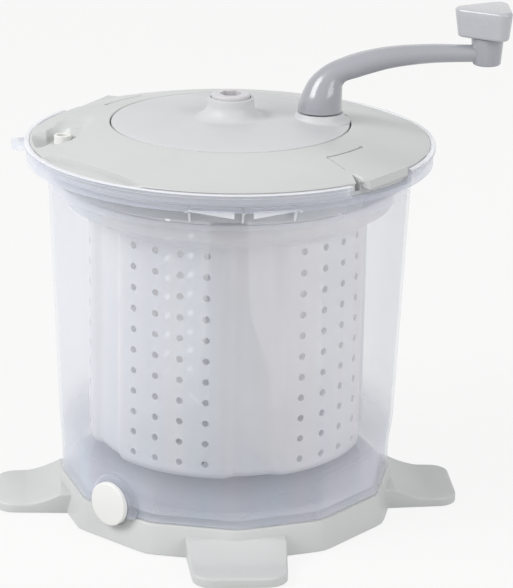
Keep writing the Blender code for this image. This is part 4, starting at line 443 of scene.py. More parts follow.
GREY = (0.560, 0.574, 0.568)
BASE_GREY = (0.585, 0.595, 0.590)
BLUISH, PINKISH = (0.94, 0.97, 1.0), (1.0, 0.975, 0.985)
SMOOTH, CLEAR = {"grain": 700.0, "bump": 0.04}, {"grain": 500.0, "bump": 0.05}
lid_grey = plastic("lid_grey", GREY, 0.34)
disc_grey = plastic("disc_grey", (0.600, 0.606, 0.618), 0.44, specular=0.35)
head_grey = plastic("head_grey", (0.590, 0.580, 0.600), 0.30)
arm_grey = plastic("arm_grey", (0.350, 0.353, 0.388), 0.24, coat=0.6, **SMOOTH)
knob_grey = plastic("knob_grey", (0.470, 0.474, 0.505), 0.26, coat=0.4, **SMOOTH)
base_grey = plastic("base_grey", BASE_GREY, 0.42, bump=0.10)
frosted = plastic(
    "frosted_tub", (0.86, 0.89, 0.97), 0.20, alpha=0.06, edge_alpha=0.32,
    streaks=(BLUISH, PINKISH), low_alpha=(0.085, 0.046, 0.19), **CLEAR)
# Denser rim plastic for the lip, the band under it and the drain collar; its darker blue tint is
# painted shade for the band under the lid's overhang.
frosted_rim_with_painted_shade = plastic(
    "frosted_rim_with_painted_shade", (0.80, 0.83, 0.93), 0.22, alpha=0.22, edge_alpha=0.60, **CLEAR)
# Painted highlight: a bright, near-opaque finish on the bead edges, flange foot and gussets,
# standing in for the highlight lines that catch there.
painted_highlight_edge = plastic("painted_highlight_edge", (0.90, 0.91, 0.95), 0.25, alpha=0.75, **CLEAR)
clear_floor = plastic(
    "clear_floor", (0.62, 0.68, 0.84), 0.25, alpha=0.08, edge_alpha=0.24, **CLEAR)
milky = plastic(
    "milky_basket", (0.97, 0.97, 0.985), 0.36, grain=500.0, alpha=0.44, edge_alpha=0.78,
    streaks=(BLUISH, PINKISH))
cap_white = plastic("cap_white", (0.80, 0.80, 0.78), 0.45, bump=0.10)
bearing = plastic("bearing_white", (0.78, 0.78, 0.75), 0.40)
housing = plastic("housing_milky", (0.72, 0.75, 0.80), 0.40)
rubber = plastic("rubber", (0.035, 0.035, 0.036), 0.75, grain=1400.0, bump=0.3, specular=0.3)
steel = metal("turned_steel", (0.60, 0.60, 0.59), 0.30)

NODE_MATERIALS = {
    "drain_seal": rubber, "agitator_column": milky, "gear_housing": housing,
    "crank_hub": lid_grey, "rib_cross": base_grey, "spindle_plate": clear_floor,
    **{"foot_pad_" + side: rubber for side in ("front", "right", "back", "left")},
    **{name: bearing for name in (
        "basket_bush", "thrust_washer", "shaft_bush_upper", "shaft_bush_lower",
        "crank_bush_upper", "crank_bush_lower", "drive_pinion", "crank_gear")},
}
for node_name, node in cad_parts.items():
    node.data.materials.clear()
    node.data.materials.append(NODE_MATERIALS.get(node_name, steel))


# Base

def polygon_radius(circumradius, azimuth):
    """A twelve-sided outline whose corners are eased by averaging."""
    step = 360.0 / SIDES
    total = 0.0
    for shift in (-CORNER_EASE, 0.0, CORNER_EASE):
        offset = ((azimuth + shift) % step) - step / 2
        total += math.cos(math.radians(step / 2)) / math.cos(math.radians(offset))
    return circumradius * total / 3


def foot_mesh(azimuth):
    """Cross-sections lofted along the reach, with soft edges and a hollow ramp."""
    stations = [FOOT_ROOT - FOOT_OVERLAP + 0.001 * i for i in range(FOOT_STATIONS)]
    bend = FOOT_REACH - FOOT_CORNER
    for i in range(1, 13):
        stations.append(bend + FOOT_CORNER * math.sin(math.radians(90 * i / 12)) * 0.9999)
    rings = []
    for reach in sorted(set(stations)):
        slope = (reach - FOOT_ROOT) / (FOOT_REACH - FOOT_ROOT)
        half = FOOT_ROOT_HALF + (FOOT_TIP_HALF - FOOT_ROOT_HALF) * slope
        if reach > bend:
            half -= FOOT_CORNER - math.sqrt(max(FOOT_CORNER ** 2 - (reach - bend) ** 2, 0.0))
        share = min(max((FOOT_FLAT_END - reach) / (FOOT_FLAT_END - FOOT_RAMP_TOP), 0.0), 1.0)
        top = FOOT_TIP_HEIGHT + (FOOT_ROOT_HEIGHT - FOOT_TIP_HEIGHT) * share ** 1.6
        edge = FOOT_REACH - FOOT_EDGE
        if reach > edge:
            top -= FOOT_EDGE - math.sqrt(max(FOOT_EDGE ** 2 - (reach - edge) ** 2, 0.0))
        outline = rounded([
            (-half, PLINTH_LIFT, 0.0006), (half, PLINTH_LIFT, 0.0006),
            (half, top, FOOT_EDGE), (-half, top, FOOT_EDGE)], 4)
        rings.append([Vector((reach, x, z)) for x, z in outline])
    return turn(skin(rings), azimuth - 90)


def screw_holes(bottom, top):
    return [rod(SCREW_HOLE, bottom, top, 16, polar(SCREW_RING, a)) for a in SCREW_AZIMUTHS]


def build_base():
    columns = [3 * i for i in range(120)]
    ceiling = PLINTH_TOP - PLATE
    slope = (PLINTH_FOOT_RADIUS - PLINTH_TOP_RADIUS) / (PLINTH_TOP - PLINTH_LIFT)
    inner_low = PLINTH_FOOT_RADIUS - PLINTH_WALL
    inner_high = inner_low - slope * (ceiling - PLINTH_LIFT)
    profile = rounded([
        (PLATE_HOLE, PLINTH_TOP, 0), (PLINTH_TOP_RADIUS, PLINTH_TOP, 0.0012),
        (PLINTH_FOOT_RADIUS, PLINTH_LIFT, 0.0008), (inner_low, PLINTH_LIFT, 0.0006),
        (inner_high, ceiling, 0.0010), (PLATE_HOLE, ceiling, 0)], 4, closed=False)
    rings = [[polar(polygon_radius(r, a), a, z) for a in columns] for r, z in profile]
    shell = skin(rings, closed=True)
    steps = [("UNION", foot_mesh(a)) for a in (0, 90, 180, 270)]
    hollow_rings = [
        [polar(polygon_radius(r, a), a, z) for a in columns]
        for r, z in ((inner_low + slope * OVERRUN, PLINTH_LIFT - OVERRUN), (inner_high, ceiling))]
    steps.append(("DIFFERENCE", skin(hollow_rings)))
    cuts = [
        rod(PAD_RADIUS + SEAT_GAP, -OVERRUN, PAD_THICKNESS + SEAT_GAP, 32, polar(PAD_PLACE, a))
        for a in (0, 90, 180, 270)]
    steps.append(("DIFFERENCE", merged(
        cuts + screw_holes(ceiling - OVERRUN, PLINTH_TOP + OVERRUN))))
    bite = radial(
        rod(CAP_RADIUS + 4 * SEAT_GAP, -DRAIN_SEAT - SEAT_GAP, OVERRUN, 64),
        DRAIN_AZIMUTH, DRAIN_FACE, DRAIN_HEIGHT)
    steps.append(("DIFFERENCE", bite))
    mesh = carve(shell, steps, sharp=32)
    piece("footed_base", mesh, "base", base_grey, ["base_stand"])


# Tub

def tub_outer(azimuth, height):
    slope = (TUB_HIGH_RADIUS - TUB_LOW_RADIUS) / (WALL_TOP - TUB_LOW_HEIGHT)
    round_radius = TUB_LOW_RADIUS + slope * (height - TUB_LOW_HEIGHT)
    flat = polygon_radius(TUB_FOOT_RADIUS, azimuth)
    share = smoothstep((height - TUB_BOTTOM) / (TUB_ROUND_HEIGHT - TUB_BOTTOM))
    return flat * (1 - share) + round_radius * share


def in_sector(azimuth, start, end):
    slack = STEP_ANGLE / 2
    return any(start - slack <= (azimuth - t) % 360 <= end + slack for t in WING_TURNS)


def winged(azimuth):
    return in_sector(azimuth, WING_START, WING_END)


def split_azimuths(step, start, end, extra=()):
    edges = [t + e for t in WING_TURNS for e in (start, end)]
    columns = [
        step * i for i in range(round(360 / step))
        if all(abs(step * i - edge) > 3 * STEP_ANGLE for edge in edges)]
    for i, edge in enumerate(edges):
        columns.extend((edge, edge + (STEP_ANGLE if i % 2 else -STEP_ANGLE)))
    for azimuth in extra:
        if all(abs(azimuth - c) > 3 * STEP_ANGLE for c in columns):
            columns.append(azimuth)
    return sorted(columns)


def build_tub():
    columns = split_azimuths(2.0, NOTCH_START, NOTCH_END)
    bead = FLANGE_RADIUS + LIP_BEAD
    inner = FLANGE_RADIUS - LIP_THICKNESS

    def lip_height(azimuth, height):
        if height > TUB_LEDGE and in_sector(azimuth, NOTCH_START, NOTCH_END):
            return TUB_LEDGE + (height - TUB_LEDGE) * 0.03
        return height

    rings = []

    def wall(height, inset=0.0):
        rings.append([polar(tub_outer(a, height) - inset, a, height) for a in columns])

    def ring(radius, height):
        rings.append([polar(radius, a, lip_height(a, height)) for a in columns])

    for height, inset in ((0.0234, 0.0022), (0.0237, 0.0009), (0.0245, 0.0)):
        wall(height, inset)
    levels = (0.030, 0.037, 0.044, 0.051, 0.058, 0.065, 0.071, TUB_ROUND_HEIGHT)
    for height in levels:
        wall(height)
    for height in (0.12, 0.17, 0.22, RIM_TOP, 0.2688):
        wall(height)
    rings.append([polar(tub_outer(a, FLANGE_BOTTOM) + 0.0012, a, FLANGE_BOTTOM) for a in columns])
    lip = rounded([
        (FLANGE_RADIUS, FLANGE_BOTTOM, 0.0006),
        (FLANGE_RADIUS, LIP_TOP - LIP_BEAD_HEIGHT - 0.0004, 0),
        (bead, LIP_TOP - LIP_BEAD_HEIGHT, 0.0003),
        (bead, LIP_TOP, 0.0007), (inner, LIP_TOP, 0.0004), (inner, TUB_LEDGE, 0.0003)],
        3, closed=False)
    for radius, height in lip:
        ring(radius, height)
    rings.append([polar(tub_outer(a, TUB_LEDGE) - TUB_WALL, a, TUB_LEDGE) for a in columns])
    for height in (0.22, 0.17, 0.12, *reversed(levels[1:])):
        wall(height, TUB_WALL)
    for drop, inset in ((0.0045, 0.0), (0.0022, 0.0006), (0.0008, 0.0022), (0.0, 0.0045)):
        rings.append([
            polar(tub_outer(a, TUB_BOTTOM + drop) - TUB_WALL - inset, a, TUB_FLOOR_TOP + drop)
            for a in columns])
    shell = skin(rings, sharp=28)

    steps = []
    length = DRAIN_FACE - (TUB_FOOT_RADIUS * math.cos(math.pi / SIDES) - TUB_WALL / 2)
    profile = rounded([
        (0.0, length, 0), (DRAIN_RADIUS, length, 0.0042), (DRAIN_RADIUS, 0.0, 0), (0.0, 0.0, 0)],
        6, closed=False)
    boss = radial(
        lathe(profile, 72, on_axis=True), DRAIN_AZIMUTH, DRAIN_FACE - length, DRAIN_HEIGHT)
    below = block((-DRAIN_FACE, -DRAIN_FACE, 0.0), (0.0, 0.0, TUB_BOTTOM))
    steps.append(("UNION", carve(boss, [("DIFFERENCE", below)])))
    for side_turn in (0, 180):
        for angle in GUSSET_ANGLES:
            root = tub_outer(angle, FLANGE_BOTTOM) - TUB_WALL / 2
            low_root = tub_outer(angle, GUSSET_BOTTOM) - TUB_WALL / 2
            reach = FLANGE_RADIUS - LUG_INSET
            outline = [
                (low_root, GUSSET_BOTTOM), (root + TUB_WALL, GUSSET_BOTTOM),
                ((root * 2 + reach) / 3, (GUSSET_BOTTOM + FLANGE_BOTTOM * 2) / 3),
                (reach, FLANGE_BOTTOM - LUG_INSET), (reach, FLANGE_BOTTOM + FUSE),
                (low_root, FLANGE_BOTTOM + FUSE)]
            steps.append(("UNION", upright(outline, GUSSET_THICKNESS, side_turn + angle)))
        for side in (-1, 1):
            steps.append(("UNION", lug_mesh(side_turn, side)))
    root, tip = TAB_WIDTH / 2, TAB_WIDTH * 0.275
    start = FLANGE_RADIUS - LIP_THICKNESS / 2
    knee = (start + TAB_REACH * 2) / 3
    outline = rounded([
        (start, -root, 0), (knee, -(root + tip) / 2, 0.006), (TAB_REACH, -tip, 0.004),
        (TAB_REACH, tip, 0.004), (knee, (root + tip) / 2, 0.006), (start, root, 0)], 5)
    steps.append(("UNION", turn(plate(outline, TAB_TOP - TAB_THICKNESS, TAB_TOP), -180)))
    depth = 2 * DRAIN_SEAT + TUB_WALL
    for cut in (
            rod(DRAIN_BORE, -depth, depth, 32),
            rod(DRAIN_SEAT_RADIUS, -DRAIN_SEAT, OVERRUN, 48)):
        steps.append(("DIFFERENCE", radial(cut, DRAIN_AZIMUTH, DRAIN_FACE, DRAIN_HEIGHT)))
    holes = screw_holes(TUB_BOTTOM - OVERRUN, TUB_FLOOR_TOP + OVERRUN)
    steps.append(("DIFFERENCE", merged(holes)))
    mesh = carve(shell, steps, sharp=28)
    item = piece("frosted_tub", mesh, "base", frosted, [
        "tub", "tub_rim", "flange_ribs_front", "flange_ribs_back", "drain_collar"])
    for finish in (frosted_rim_with_painted_shade, painted_highlight_edge):
        item.data.materials.append(finish)
    for face in mesh.polygons:
        face.material_index = tub_finish(face.center, face.normal)


def tub_finish(centre, normal):
    """0 for the clear wall, 1 for the denser rim and collar, whose darker tint is painted shade
    under the lid, 2 for painted highlights: bright near-opaque faces on the bead edges, the
    flange's foot and the gussets.
    """
    radius = centre.xy.length
    outward = polar(1.0, DRAIN_AZIMUTH)
    axis = centre - outward * centre.dot(outward)
    if (axis - Vector((0, 0, DRAIN_HEIGHT))).length < DRAIN_RADIUS and centre.dot(outward) > 0.1235:
        return 1
    azimuth = math.degrees(math.atan2(centre.x, -centre.y))
    outer = tub_outer(azimuth, min(centre.z, FLANGE_BOTTOM))
    # Painted highlights on the bead's top and lower edge, the flange's foot and the gussets.
    if centre.z > LIP_TOP - 0.0009 and normal.z > 0.25:
        return 2
    if radius > FLANGE_RADIUS and abs(centre.z - LIP_TOP + LIP_BEAD_HEIGHT) < 0.0006:
        return 2
    if radius > FLANGE_RADIUS - 0.0008 and abs(centre.z - FLANGE_BOTTOM) < 0.0007:
        return 2
    if GUSSET_BOTTOM - 0.001 < centre.z < FLANGE_BOTTOM - SEAT_GAP and radius > outer + 0.0004:
        return 2
    # Painted shade: the wall band under the flange takes the darker rim finish.
    if RIM_TOP + 0.001 < centre.z < FLANGE_BOTTOM and radius > outer - 0.0004:
        return 1
    return 1 if centre.z > FLANGE_BOTTOM and radius > outer + 0.0014 else 0


def lug_mesh(side_turn, side):
    radius = FLANGE_RADIUS - LUG_INSET - GUSSET_THICKNESS
    near, far = polar(radius, side * LUG_START), polar(radius, side * LUG_END)
    run = (far - near).length
    outline = [
        (0.0, FLANGE_BOTTOM + FUSE), (0.0, FLANGE_BOTTOM - LUG_DEPTH),
        (run, FLANGE_BOTTOM - LUG_INSET / 4), (run, FLANGE_BOTTOM + FUSE)]
    half = GUSSET_THICKNESS / 2
    mesh = skin([[Vector((x, y, z)) for x, z in outline] for y in (-half, half)])
    heading = math.atan2(far.y - near.y, far.x - near.x)
    mesh.transform(Matrix.Translation(near) @ Matrix.Rotation(heading, 4, "Z"))
    return turn(mesh, side_turn)


def build_drain():
    seat_floor = DRAIN_FACE - DRAIN_SEAT
    back = DRAIN_SEAT + SEAT_GAP
    front = back + CAP_THICKNESS
    profile = rounded([
        (0.0, front, 0), (CAP_RADIUS, front, 0.0009), (CAP_RADIUS, back, 0.0006),
        (PLUG_RADIUS, back, 0), (PLUG_RADIUS, PLUG_BACK, 0.0003), (STEM_RADIUS, PLUG_BACK, 0),
        (STEM_RADIUS, STEM_END, 0.0008), (0.0, STEM_END, 0)], 4, closed=False)
    mesh = radial(lathe(profile, 72, on_axis=True), DRAIN_AZIMUTH, seat_floor, DRAIN_HEIGHT)
    piece("drain_cap_plug", mesh, "drain_cap", cap_white, ["drain_plug"])


# Basket

def flute_share(azimuth):
    pitch = 360 / BASKET_PANELS
    offset = abs((azimuth - BASKET_TURN) % pitch - pitch / 2)
    return smoothstep((FLUTE_HALF - offset) / FLUTE_BLEND)


def build_basket():
    columns = [BASKET_TURN + 1.5 * i for i in range(240)]
    shares = [flute_share(a) for a in columns]

    def fluted(radius, height):
        fade = smoothstep((SHOULDER_TOP - height) / (SHOULDER_TOP - SHOULDER_BOTTOM))
        return [
            polar(radius - FLUTE_DEPTH * s * fade, a, height) for a, s in zip(columns, shares)]

    inner = BASKET_RADIUS - BASKET_WALL
    floor_top = BASKET_BOTTOM + BASKET_FLOOR
    outer_side = rounded([
        (FLOOR_START, BASKET_BOTTOM, 0), (BASKET_RADIUS, BASKET_BOTTOM, BASKET_CORNER),
        (BASKET_RADIUS, SHOULDER_BOTTOM, 0.004), (RIM_RADIUS, SHOULDER_TOP, 0.002),
        (RIM_RADIUS, RIM_TOP, 0.0008), (RIM_RADIUS - RIM_WALL, RIM_TOP, 0.0006),
        (RIM_RADIUS - RIM_WALL, SHOULDER_TOP + RIM_WALL, 0.002),
        (inner, SHOULDER_BOTTOM + RIM_WALL, 0.004),
        (inner, floor_top, BASKET_CORNER - BASKET_WALL), (FLOOR_START, floor_top, 0)],
        4, closed=False)
    shell = skin([fluted(radius, height) for radius, height in outer_side], sharp=32)
    cuts = [rod(HUB_HOLE, BASKET_BOTTOM - OVERRUN, floor_top + OVERRUN, 48)]
    slot = rounded([
        (SLOT_START, -SLOT_HALF, SLOT_CORNER), (SLOT_END, -SLOT_HALF, SLOT_CORNER),
        (SLOT_END, SLOT_HALF, SLOT_CORNER), (SLOT_START, SLOT_HALF, SLOT_CORNER)], 4)
    for i in range(SLOTS):
        cut = plate(slot, BASKET_BOTTOM - OVERRUN, floor_top + OVERRUN)
        cuts.append(turn(cut, 360 // SLOTS * i))
    holes = []
    for panel in range(BASKET_PANELS):
        for offset in HOLE_OFFSETS:
            azimuth = BASKET_TURN + 360 / BASKET_PANELS * panel + offset
            for row in range(HOLE_ROWS):
                hole = rod(HOLE_RADIUS, -OVERRUN, OVERRUN, 14)
                holes.append(radial(hole, azimuth, BASKET_RADIUS, HOLE_BOTTOM + HOLE_PITCH * row))
    mesh = carve(
        shell, [("DIFFERENCE", merged(cuts)), ("DIFFERENCE", merged(holes))], sharp=32)
    piece("spin_basket", mesh, "spin_basket", milky, ["basket", "basket_rim"])


# Lid

def dome_height(radius):
    share = (radius - LID_INNER_RADIUS) / (LID_RADIUS - LID_INNER_RADIUS)
    share = min(max(share, 0.0), 1.0)
    return LID_RIM_HEIGHT + (LID_INNER_TOP - LID_RIM_HEIGHT) * (1 - share ** DOME_POWER)


def well_depth(point):
    """The inlet's well: a steep dish with a shallower slope behind it."""
    def inside(centre, halves):
        across, along = (point.x - centre[0]) / halves[0], (point.y - centre[1]) / halves[1]
        return max(1 - across * across - along * along, 0.0)

    dish = WELL_DEPTH * smoothstep(inside(WELL_CENTRE, WELL_HALVES) * 2.2)
    slope = SLOPE_DEPTH * smoothstep(inside(SLOPE_CENTRE, SLOPE_HALVES) * 1.2)
    return max(dish, slope)


def crease_radius(azimuth):
    radius = LID_RADIUS - LID_CREASE_INSET
    if winged(azimuth):
        return min(radius, lid_edge(azimuth)[0] - LID_CREASE_INSET)
    for chord, distance in CHORDS:
        offset = math.radians((azimuth - chord + 180) % 360 - 180)
        if math.cos(offset) > distance / radius:
            radius = min(radius, distance / math.cos(offset))
    return radius


def chord_step(azimuth):
    """How far the lid's edge lies below its crease, beyond a chord."""
    inset = LID_RADIUS - LID_CREASE_INSET - crease_radius(azimuth)
    if winged(azimuth):
        return 0.0
    return CHORD_STEP * smoothstep(inset / CHORD_FADE)


def lid_edge(azimuth):
    if not winged(azimuth):
        return LID_RADIUS, LID_RIM_HEIGHT - chord_step(azimuth) / 2
    if azimuth > 180:
        offset = math.radians(azimuth - BACK_WING_CHORD)
        return min(BACK_WING_DISTANCE / math.cos(offset), BACK_WING_REACH), WING_TOP
    offset = math.radians(min(azimuth % 180 - WING_TANGENT, 0.0))
    return WING_DISTANCE / math.cos(offset), WING_TOP


def build_lid():
    extra = [244 + 0.8 * i for i in range(62)]
    columns = split_azimuths(2.5, WING_START, WING_END, extra)

    def top(azimuth, radius, drop=0.0):
        point = polar(radius, azimuth)
        point.z = dome_height(radius) - well_depth(point) - drop
        return point

    span = CHORDS[0][1] - 0.0008 - LID_INNER_RADIUS
    radii = [
        LID_INNER_RADIUS + 0.0006 + span * i / DOME_RINGS for i in range(DOME_RINGS + 1)]
    rings = [[polar(LID_INNER_RADIUS, a, LID_INNER_TOP - 0.0006) for a in columns]]
    rings += [[top(a, radius) for a in columns] for radius in radii]
    crease = []
    for a in columns:
        point = top(a, crease_radius(a))
        if winged(a):
            point.z = WING_TOP + 0.0003
        crease.append(point)
    rings.append(crease)
    rings.append([
        polar(crease_radius(a) + LID_CREASE_INSET / 3, a, point.z - 0.0002 - chord_step(a))
        for a, point in zip(columns, crease)])
    for inset, drop in ((0.0003, 0.0), (0.0, 0.0004)):
        rings.append([polar(lid_edge(a)[0] - inset, a, lid_edge(a)[1] - drop) for a in columns])

    def side(azimuth, inset):
        """The edge under its rounding, drawn in by the inset except at a wing."""
        if winged(azimuth):
            return lid_edge(azimuth)[0]
        return LID_RADIUS - inset

    for drop, inset in ((0.0008, 0.0), (0.0009, EDGE_UNDERCUT)):
        rings.append([polar(side(a, inset), a, lid_edge(a)[1] - drop) for a in columns])
    rings.append([polar(side(a, EDGE_UNDERCUT), a, WING_BOTTOM) for a in columns])
    for inset, height in (
            (0.0, WING_BOTTOM - SEAT_GAP), (0.0, LID_BOTTOM),
            (LID_EDGE_WALL, LID_BOTTOM), (LID_EDGE_WALL, LID_ROOF)):
        rings.append([
            polar(min(LID_RADIUS, lid_edge(a)[0]) - EDGE_UNDERCUT - inset, a, height)
            for a in columns])
    rings.append([polar(SPIGOT_RADIUS, a, LID_ROOF) for a in columns])

    def foot(azimuth):
        return LID_ROOF - SEAT_GAP if winged(azimuth) else SPIGOT_BOTTOM

    spigot_inner = SPIGOT_RADIUS - SPIGOT_WALL
    for radius, rise in (
            (SPIGOT_RADIUS, SPIGOT_TAPER), (SPIGOT_RADIUS - SPIGOT_WALL / 2, 0.0),
            (spigot_inner, 0.0)):
        rings.append([polar(radius, a, foot(a) + rise) for a in columns])
    under = [r for r in radii if LID_UNDER_START < r < spigot_inner - SPIGOT_WALL]
    rings += [[top(a, r, LID_SKIN) for a in columns] for r in (spigot_inner, *reversed(under))]
    wall = LID_INNER_RADIUS + LID_EDGE_WALL
    ledge = LID_INNER_RADIUS - LEDGE_WIDTH
    for radius, height in (
            (wall, LEDGE_TOP - LEDGE_THICKNESS), (ledge, LEDGE_TOP - LEDGE_THICKNESS),
            (ledge, LEDGE_TOP), (LID_INNER_RADIUS, LEDGE_TOP)):
        rings.append([polar(radius, a, height) for a in columns])
    shell = skin(rings, closed=True, sharp=30)

    steps, bosses, pilots = [], [], []
    for azimuth in LID_SCREW_AZIMUTHS:
        place = polar(LID_SCREW_RING, azimuth)
        top_height = dome_height(LID_SCREW_RING) - LID_SKIN / 2
        bosses.append(rod(LID_BOSS_RADIUS, LID_BOSS_BOTTOM, top_height, 24, place))
        pilots.append(rod(SCREW_HOLE, PILOT_BOTTOM, PILOT_TOP, 16, place))
    steps.append(("UNION", merged(bosses)))
    place = polar(INLET_PLACE, INLET_AZIMUTH)
    pilots.append(rod(INLET_RADIUS + SEAT_GAP, INLET_BOTTOM, INLET_TOP + OVERRUN, 40, place))
    steps.append(("DIFFERENCE", merged(pilots)))
    notch = [polar(r, a)[:2] for r, a in NOTCH_CORNERS]
    for side_turn in WING_TURNS:
        wedge = plate(notch, LID_BOTTOM + LID_SKIN, WING_TOP + OVERRUN)
        steps.append(("DIFFERENCE", turn(wedge, side_turn)))
        steps.append(("DIFFERENCE", slit_mesh(side_turn)))
        steps.append(("DIFFERENCE", side_slit_mesh(side_turn)))
    mesh = carve(shell, steps, sharp=30)
    piece("lid_ring", mesh, "lid", lid_grey, ["lid_cover"])


def slit_mesh(side_turn):
    half = SLIT_WIDTH / 2
    outer, inner = [], []
    for i in range(13):
        azimuth = SLIT_START + (SLIT_END - SLIT_START) * i / 12
        outer.append(tuple(polar(SLIT_RADIUS + half, azimuth)[:2]))
        inner.append(tuple(polar(SLIT_RADIUS - half, azimuth)[:2]))
    bottom, height = dome_height(SLIT_RADIUS) - 2 * LID_SKIN, dome_height(SLIT_RADIUS) + OVERRUN
    arc = plate(outer + inner[::-1], bottom, height)
    end = polar(SLIT_RADIUS, SLIT_END)
    mesh = carve(arc, [("UNION", rod(0.0017, bottom + SEAT_GAP, height - SEAT_GAP, 16, end))])
    return turn(mesh, side_turn)


def side_slit_mesh(side_turn):
    bottom, height = dome_height(SLIT_RADIUS) - 4 * LID_SKIN, dome_height(SLIT_RADIUS) + OVERRUN
    low = (SLIT_RADIUS - 0.0004, -0.0003, bottom)
    high = (SPIGOT_RADIUS - SPIGOT_WALL - SEAT_GAP, 0.0003, height + SEAT_GAP)
    return turn(block(low, high), SLIT_START + 0.15 - 90 + side_turn)


def build_inlet():
    place = polar(INLET_PLACE, INLET_AZIMUTH)
    profile = rounded([
        (INLET_RADIUS, INLET_TOP, 0.0006), (INLET_RADIUS, INLET_BOTTOM, 0),
        (INLET_BORE, INLET_BOTTOM, 0), (INLET_BORE, INLET_TOP, 0.0005)], 4)
    piece("inlet_spout", lathe(profile, 48, place), "lid", cap_white,
          ["inlet_tube"])


# Gear cover, shaft and crank

def build_cover():
    under = COVER_EDGE_TOP - COVER_SKIN
    wall = COVER_RADIUS - COVER_SKIN
    sleeve = SHAFT_SLEEVE
    outer = [(BOSS_BORE, BOSS_TOP, 0.0004), (BOSS_RADIUS, BOSS_TOP, 0.0007)]
    profile = rounded(outer + [
        (BOSS_RADIUS, COVER_CROWN + BOSS_FILLET, 0)], 4, closed=False)[1:]
    profile = [(BOSS_BORE, BOSS_TOP)] + profile
    for i in range(1, 13):
        angle = math.radians(90 * i / 12)
        profile.append((
            BOSS_RADIUS + BOSS_FILLET * (1 - math.cos(angle)),
            COVER_CROWN + BOSS_FILLET * (1 - math.sin(angle))))
    start = BOSS_RADIUS + BOSS_FILLET
    edge = COVER_RADIUS - 0.0010
    for i in range(1, 16):
        radius = start + (edge - start) * i / 15
        share = (radius - start) / (edge - start)
        profile.append((radius, COVER_CROWN - (COVER_CROWN - COVER_EDGE_TOP) * share ** 1.8))
    profile += [
        (COVER_RADIUS - 0.0003, COVER_EDGE_TOP - 0.0003), (COVER_RADIUS, COVER_EDGE_TOP - 0.0010),
        (COVER_RADIUS, LEDGE_TOP + SEAT_GAP), (wall, LEDGE_TOP + SEAT_GAP), (wall, under),
        (BOSS_HOLLOW, BOSS_CEILING), (sleeve + SLEEVE_WALL, BOSS_CEILING),
        (sleeve + SLEEVE_WALL, SHAFT_SLEEVE_BOTTOM), (sleeve + SEAT_GAP, SHAFT_SLEEVE_BOTTOM),
        (sleeve + SEAT_GAP, SHAFT_SLEEVE_TOP), (BOSS_BORE, SHAFT_SLEEVE_TOP)]
    shell = lathe(profile, 144, sharp=30)
    place = (CRANK_AXIS, 0.0)
    collar = lathe(rounded([
        (0.0, COLLAR_TOP, 0), (COLLAR_RADIUS, COLLAR_TOP, 0.0006),
        (COLLAR_RADIUS + 0.0012, COVER_EDGE_TOP + 0.0030, 0.004),
        (COLLAR_FOOT_RADIUS + 0.0016, COVER_EDGE_TOP + 0.0008, 0.0),
        (COLLAR_FOOT_RADIUS + 0.0016, COVER_EDGE_TOP - 0.0010, 0.0),
        (0.0, COVER_EDGE_TOP - 0.0010, 0)], 5, closed=False), 72, place, on_axis=True)
    sleeve_mesh = rod(COLLAR_BORE + SLEEVE_WALL, CRANK_SLEEVE_BOTTOM, COVER_EDGE_TOP, 64, place)
    hooks = []
    for azimuth in HOOK_AZIMUTHS:
        reach = LID_INNER_RADIUS - LEDGE_WIDTH - 2 * SEAT_GAP
        catch = LEDGE_TOP - LEDGE_THICKNESS - 2 * SEAT_GAP
        outline = [
            (reach - 0.0020, under + FUSE), (reach - 0.0020, catch - 0.0028),
            (reach, catch - 0.0028), (reach + 0.0014, catch - 0.0009),
            (reach + 0.0014, catch), (reach, catch), (reach, under + FUSE)]
        hooks.append(upright(outline, HOOK_WIDTH, azimuth))
    bore = rod(COLLAR_BORE, CRANK_SLEEVE_BOTTOM - OVERRUN, COLLAR_TOP + OVERRUN, 64, place)
    mesh = carve(shell, [
        ("UNION", collar), ("UNION", sleeve_mesh), ("UNION", merged(hooks)),
        ("DIFFERENCE", bore)], sharp=30)
    piece("gear_cover_disc", mesh, "lid", disc_grey, ["gear_cover"])


def build_shaft():
    profile = rounded([
        (0.0, SHAFT_TOP, 0), (SHAFT_HEAD_RADIUS, SHAFT_TOP, 0.0012),
        (SHAFT_HEAD_RADIUS, SHAFT_HEAD_BOTTOM, 0), (SHAFT_RADIUS, SHAFT_HEAD_BOTTOM, 0),
        (SHAFT_RADIUS, SHAFT_RING_TOP, 0), (SHAFT_RING, SHAFT_RING_TOP, 0),
        (SHAFT_RING, SHAFT_RING_BOTTOM, 0), (SHAFT_RADIUS, SHAFT_RING_BOTTOM, 0),
        (SHAFT_RADIUS, SHAFT_END, 0), (0.0, SHAFT_END, 0)], 5, closed=False)
    shaft = lathe(profile, 64, on_axis=True, sharp=30)
    foot = plate(hexagon(HEX_SIZE), HEX_BOTTOM, SHAFT_END + FUSE)
    socket = plate(hexagon(SOCKET_SIZE), SHAFT_TOP - SOCKET_DEPTH, SHAFT_TOP + OVERRUN)
    mesh = carve(shaft, [("UNION", foot), ("DIFFERENCE", socket)], sharp=30)
    piece("drive_shaft_head", mesh, "drive", head_grey, ["drive_shaft"])


def spline(points, parts):
    """Catmull-Rom through a list of points."""
    out = []
    for i in range(len(points) - 1):
        p0 = points[max(i - 1, 0)]
        p1, p2 = points[i], points[i + 1]
        p3 = points[min(i + 2, len(points) - 1)]
        for k in range(parts):
            t = k / parts
            out.append(0.5 * (
                2 * p1 + (p2 - p0) * t + (2 * p0 - 5 * p1 + 4 * p2 - p3) * t * t
                + (3 * p1 - p0 - 3 * p2 + p3) * t ** 3))
    out.append(points[-1])
    return out


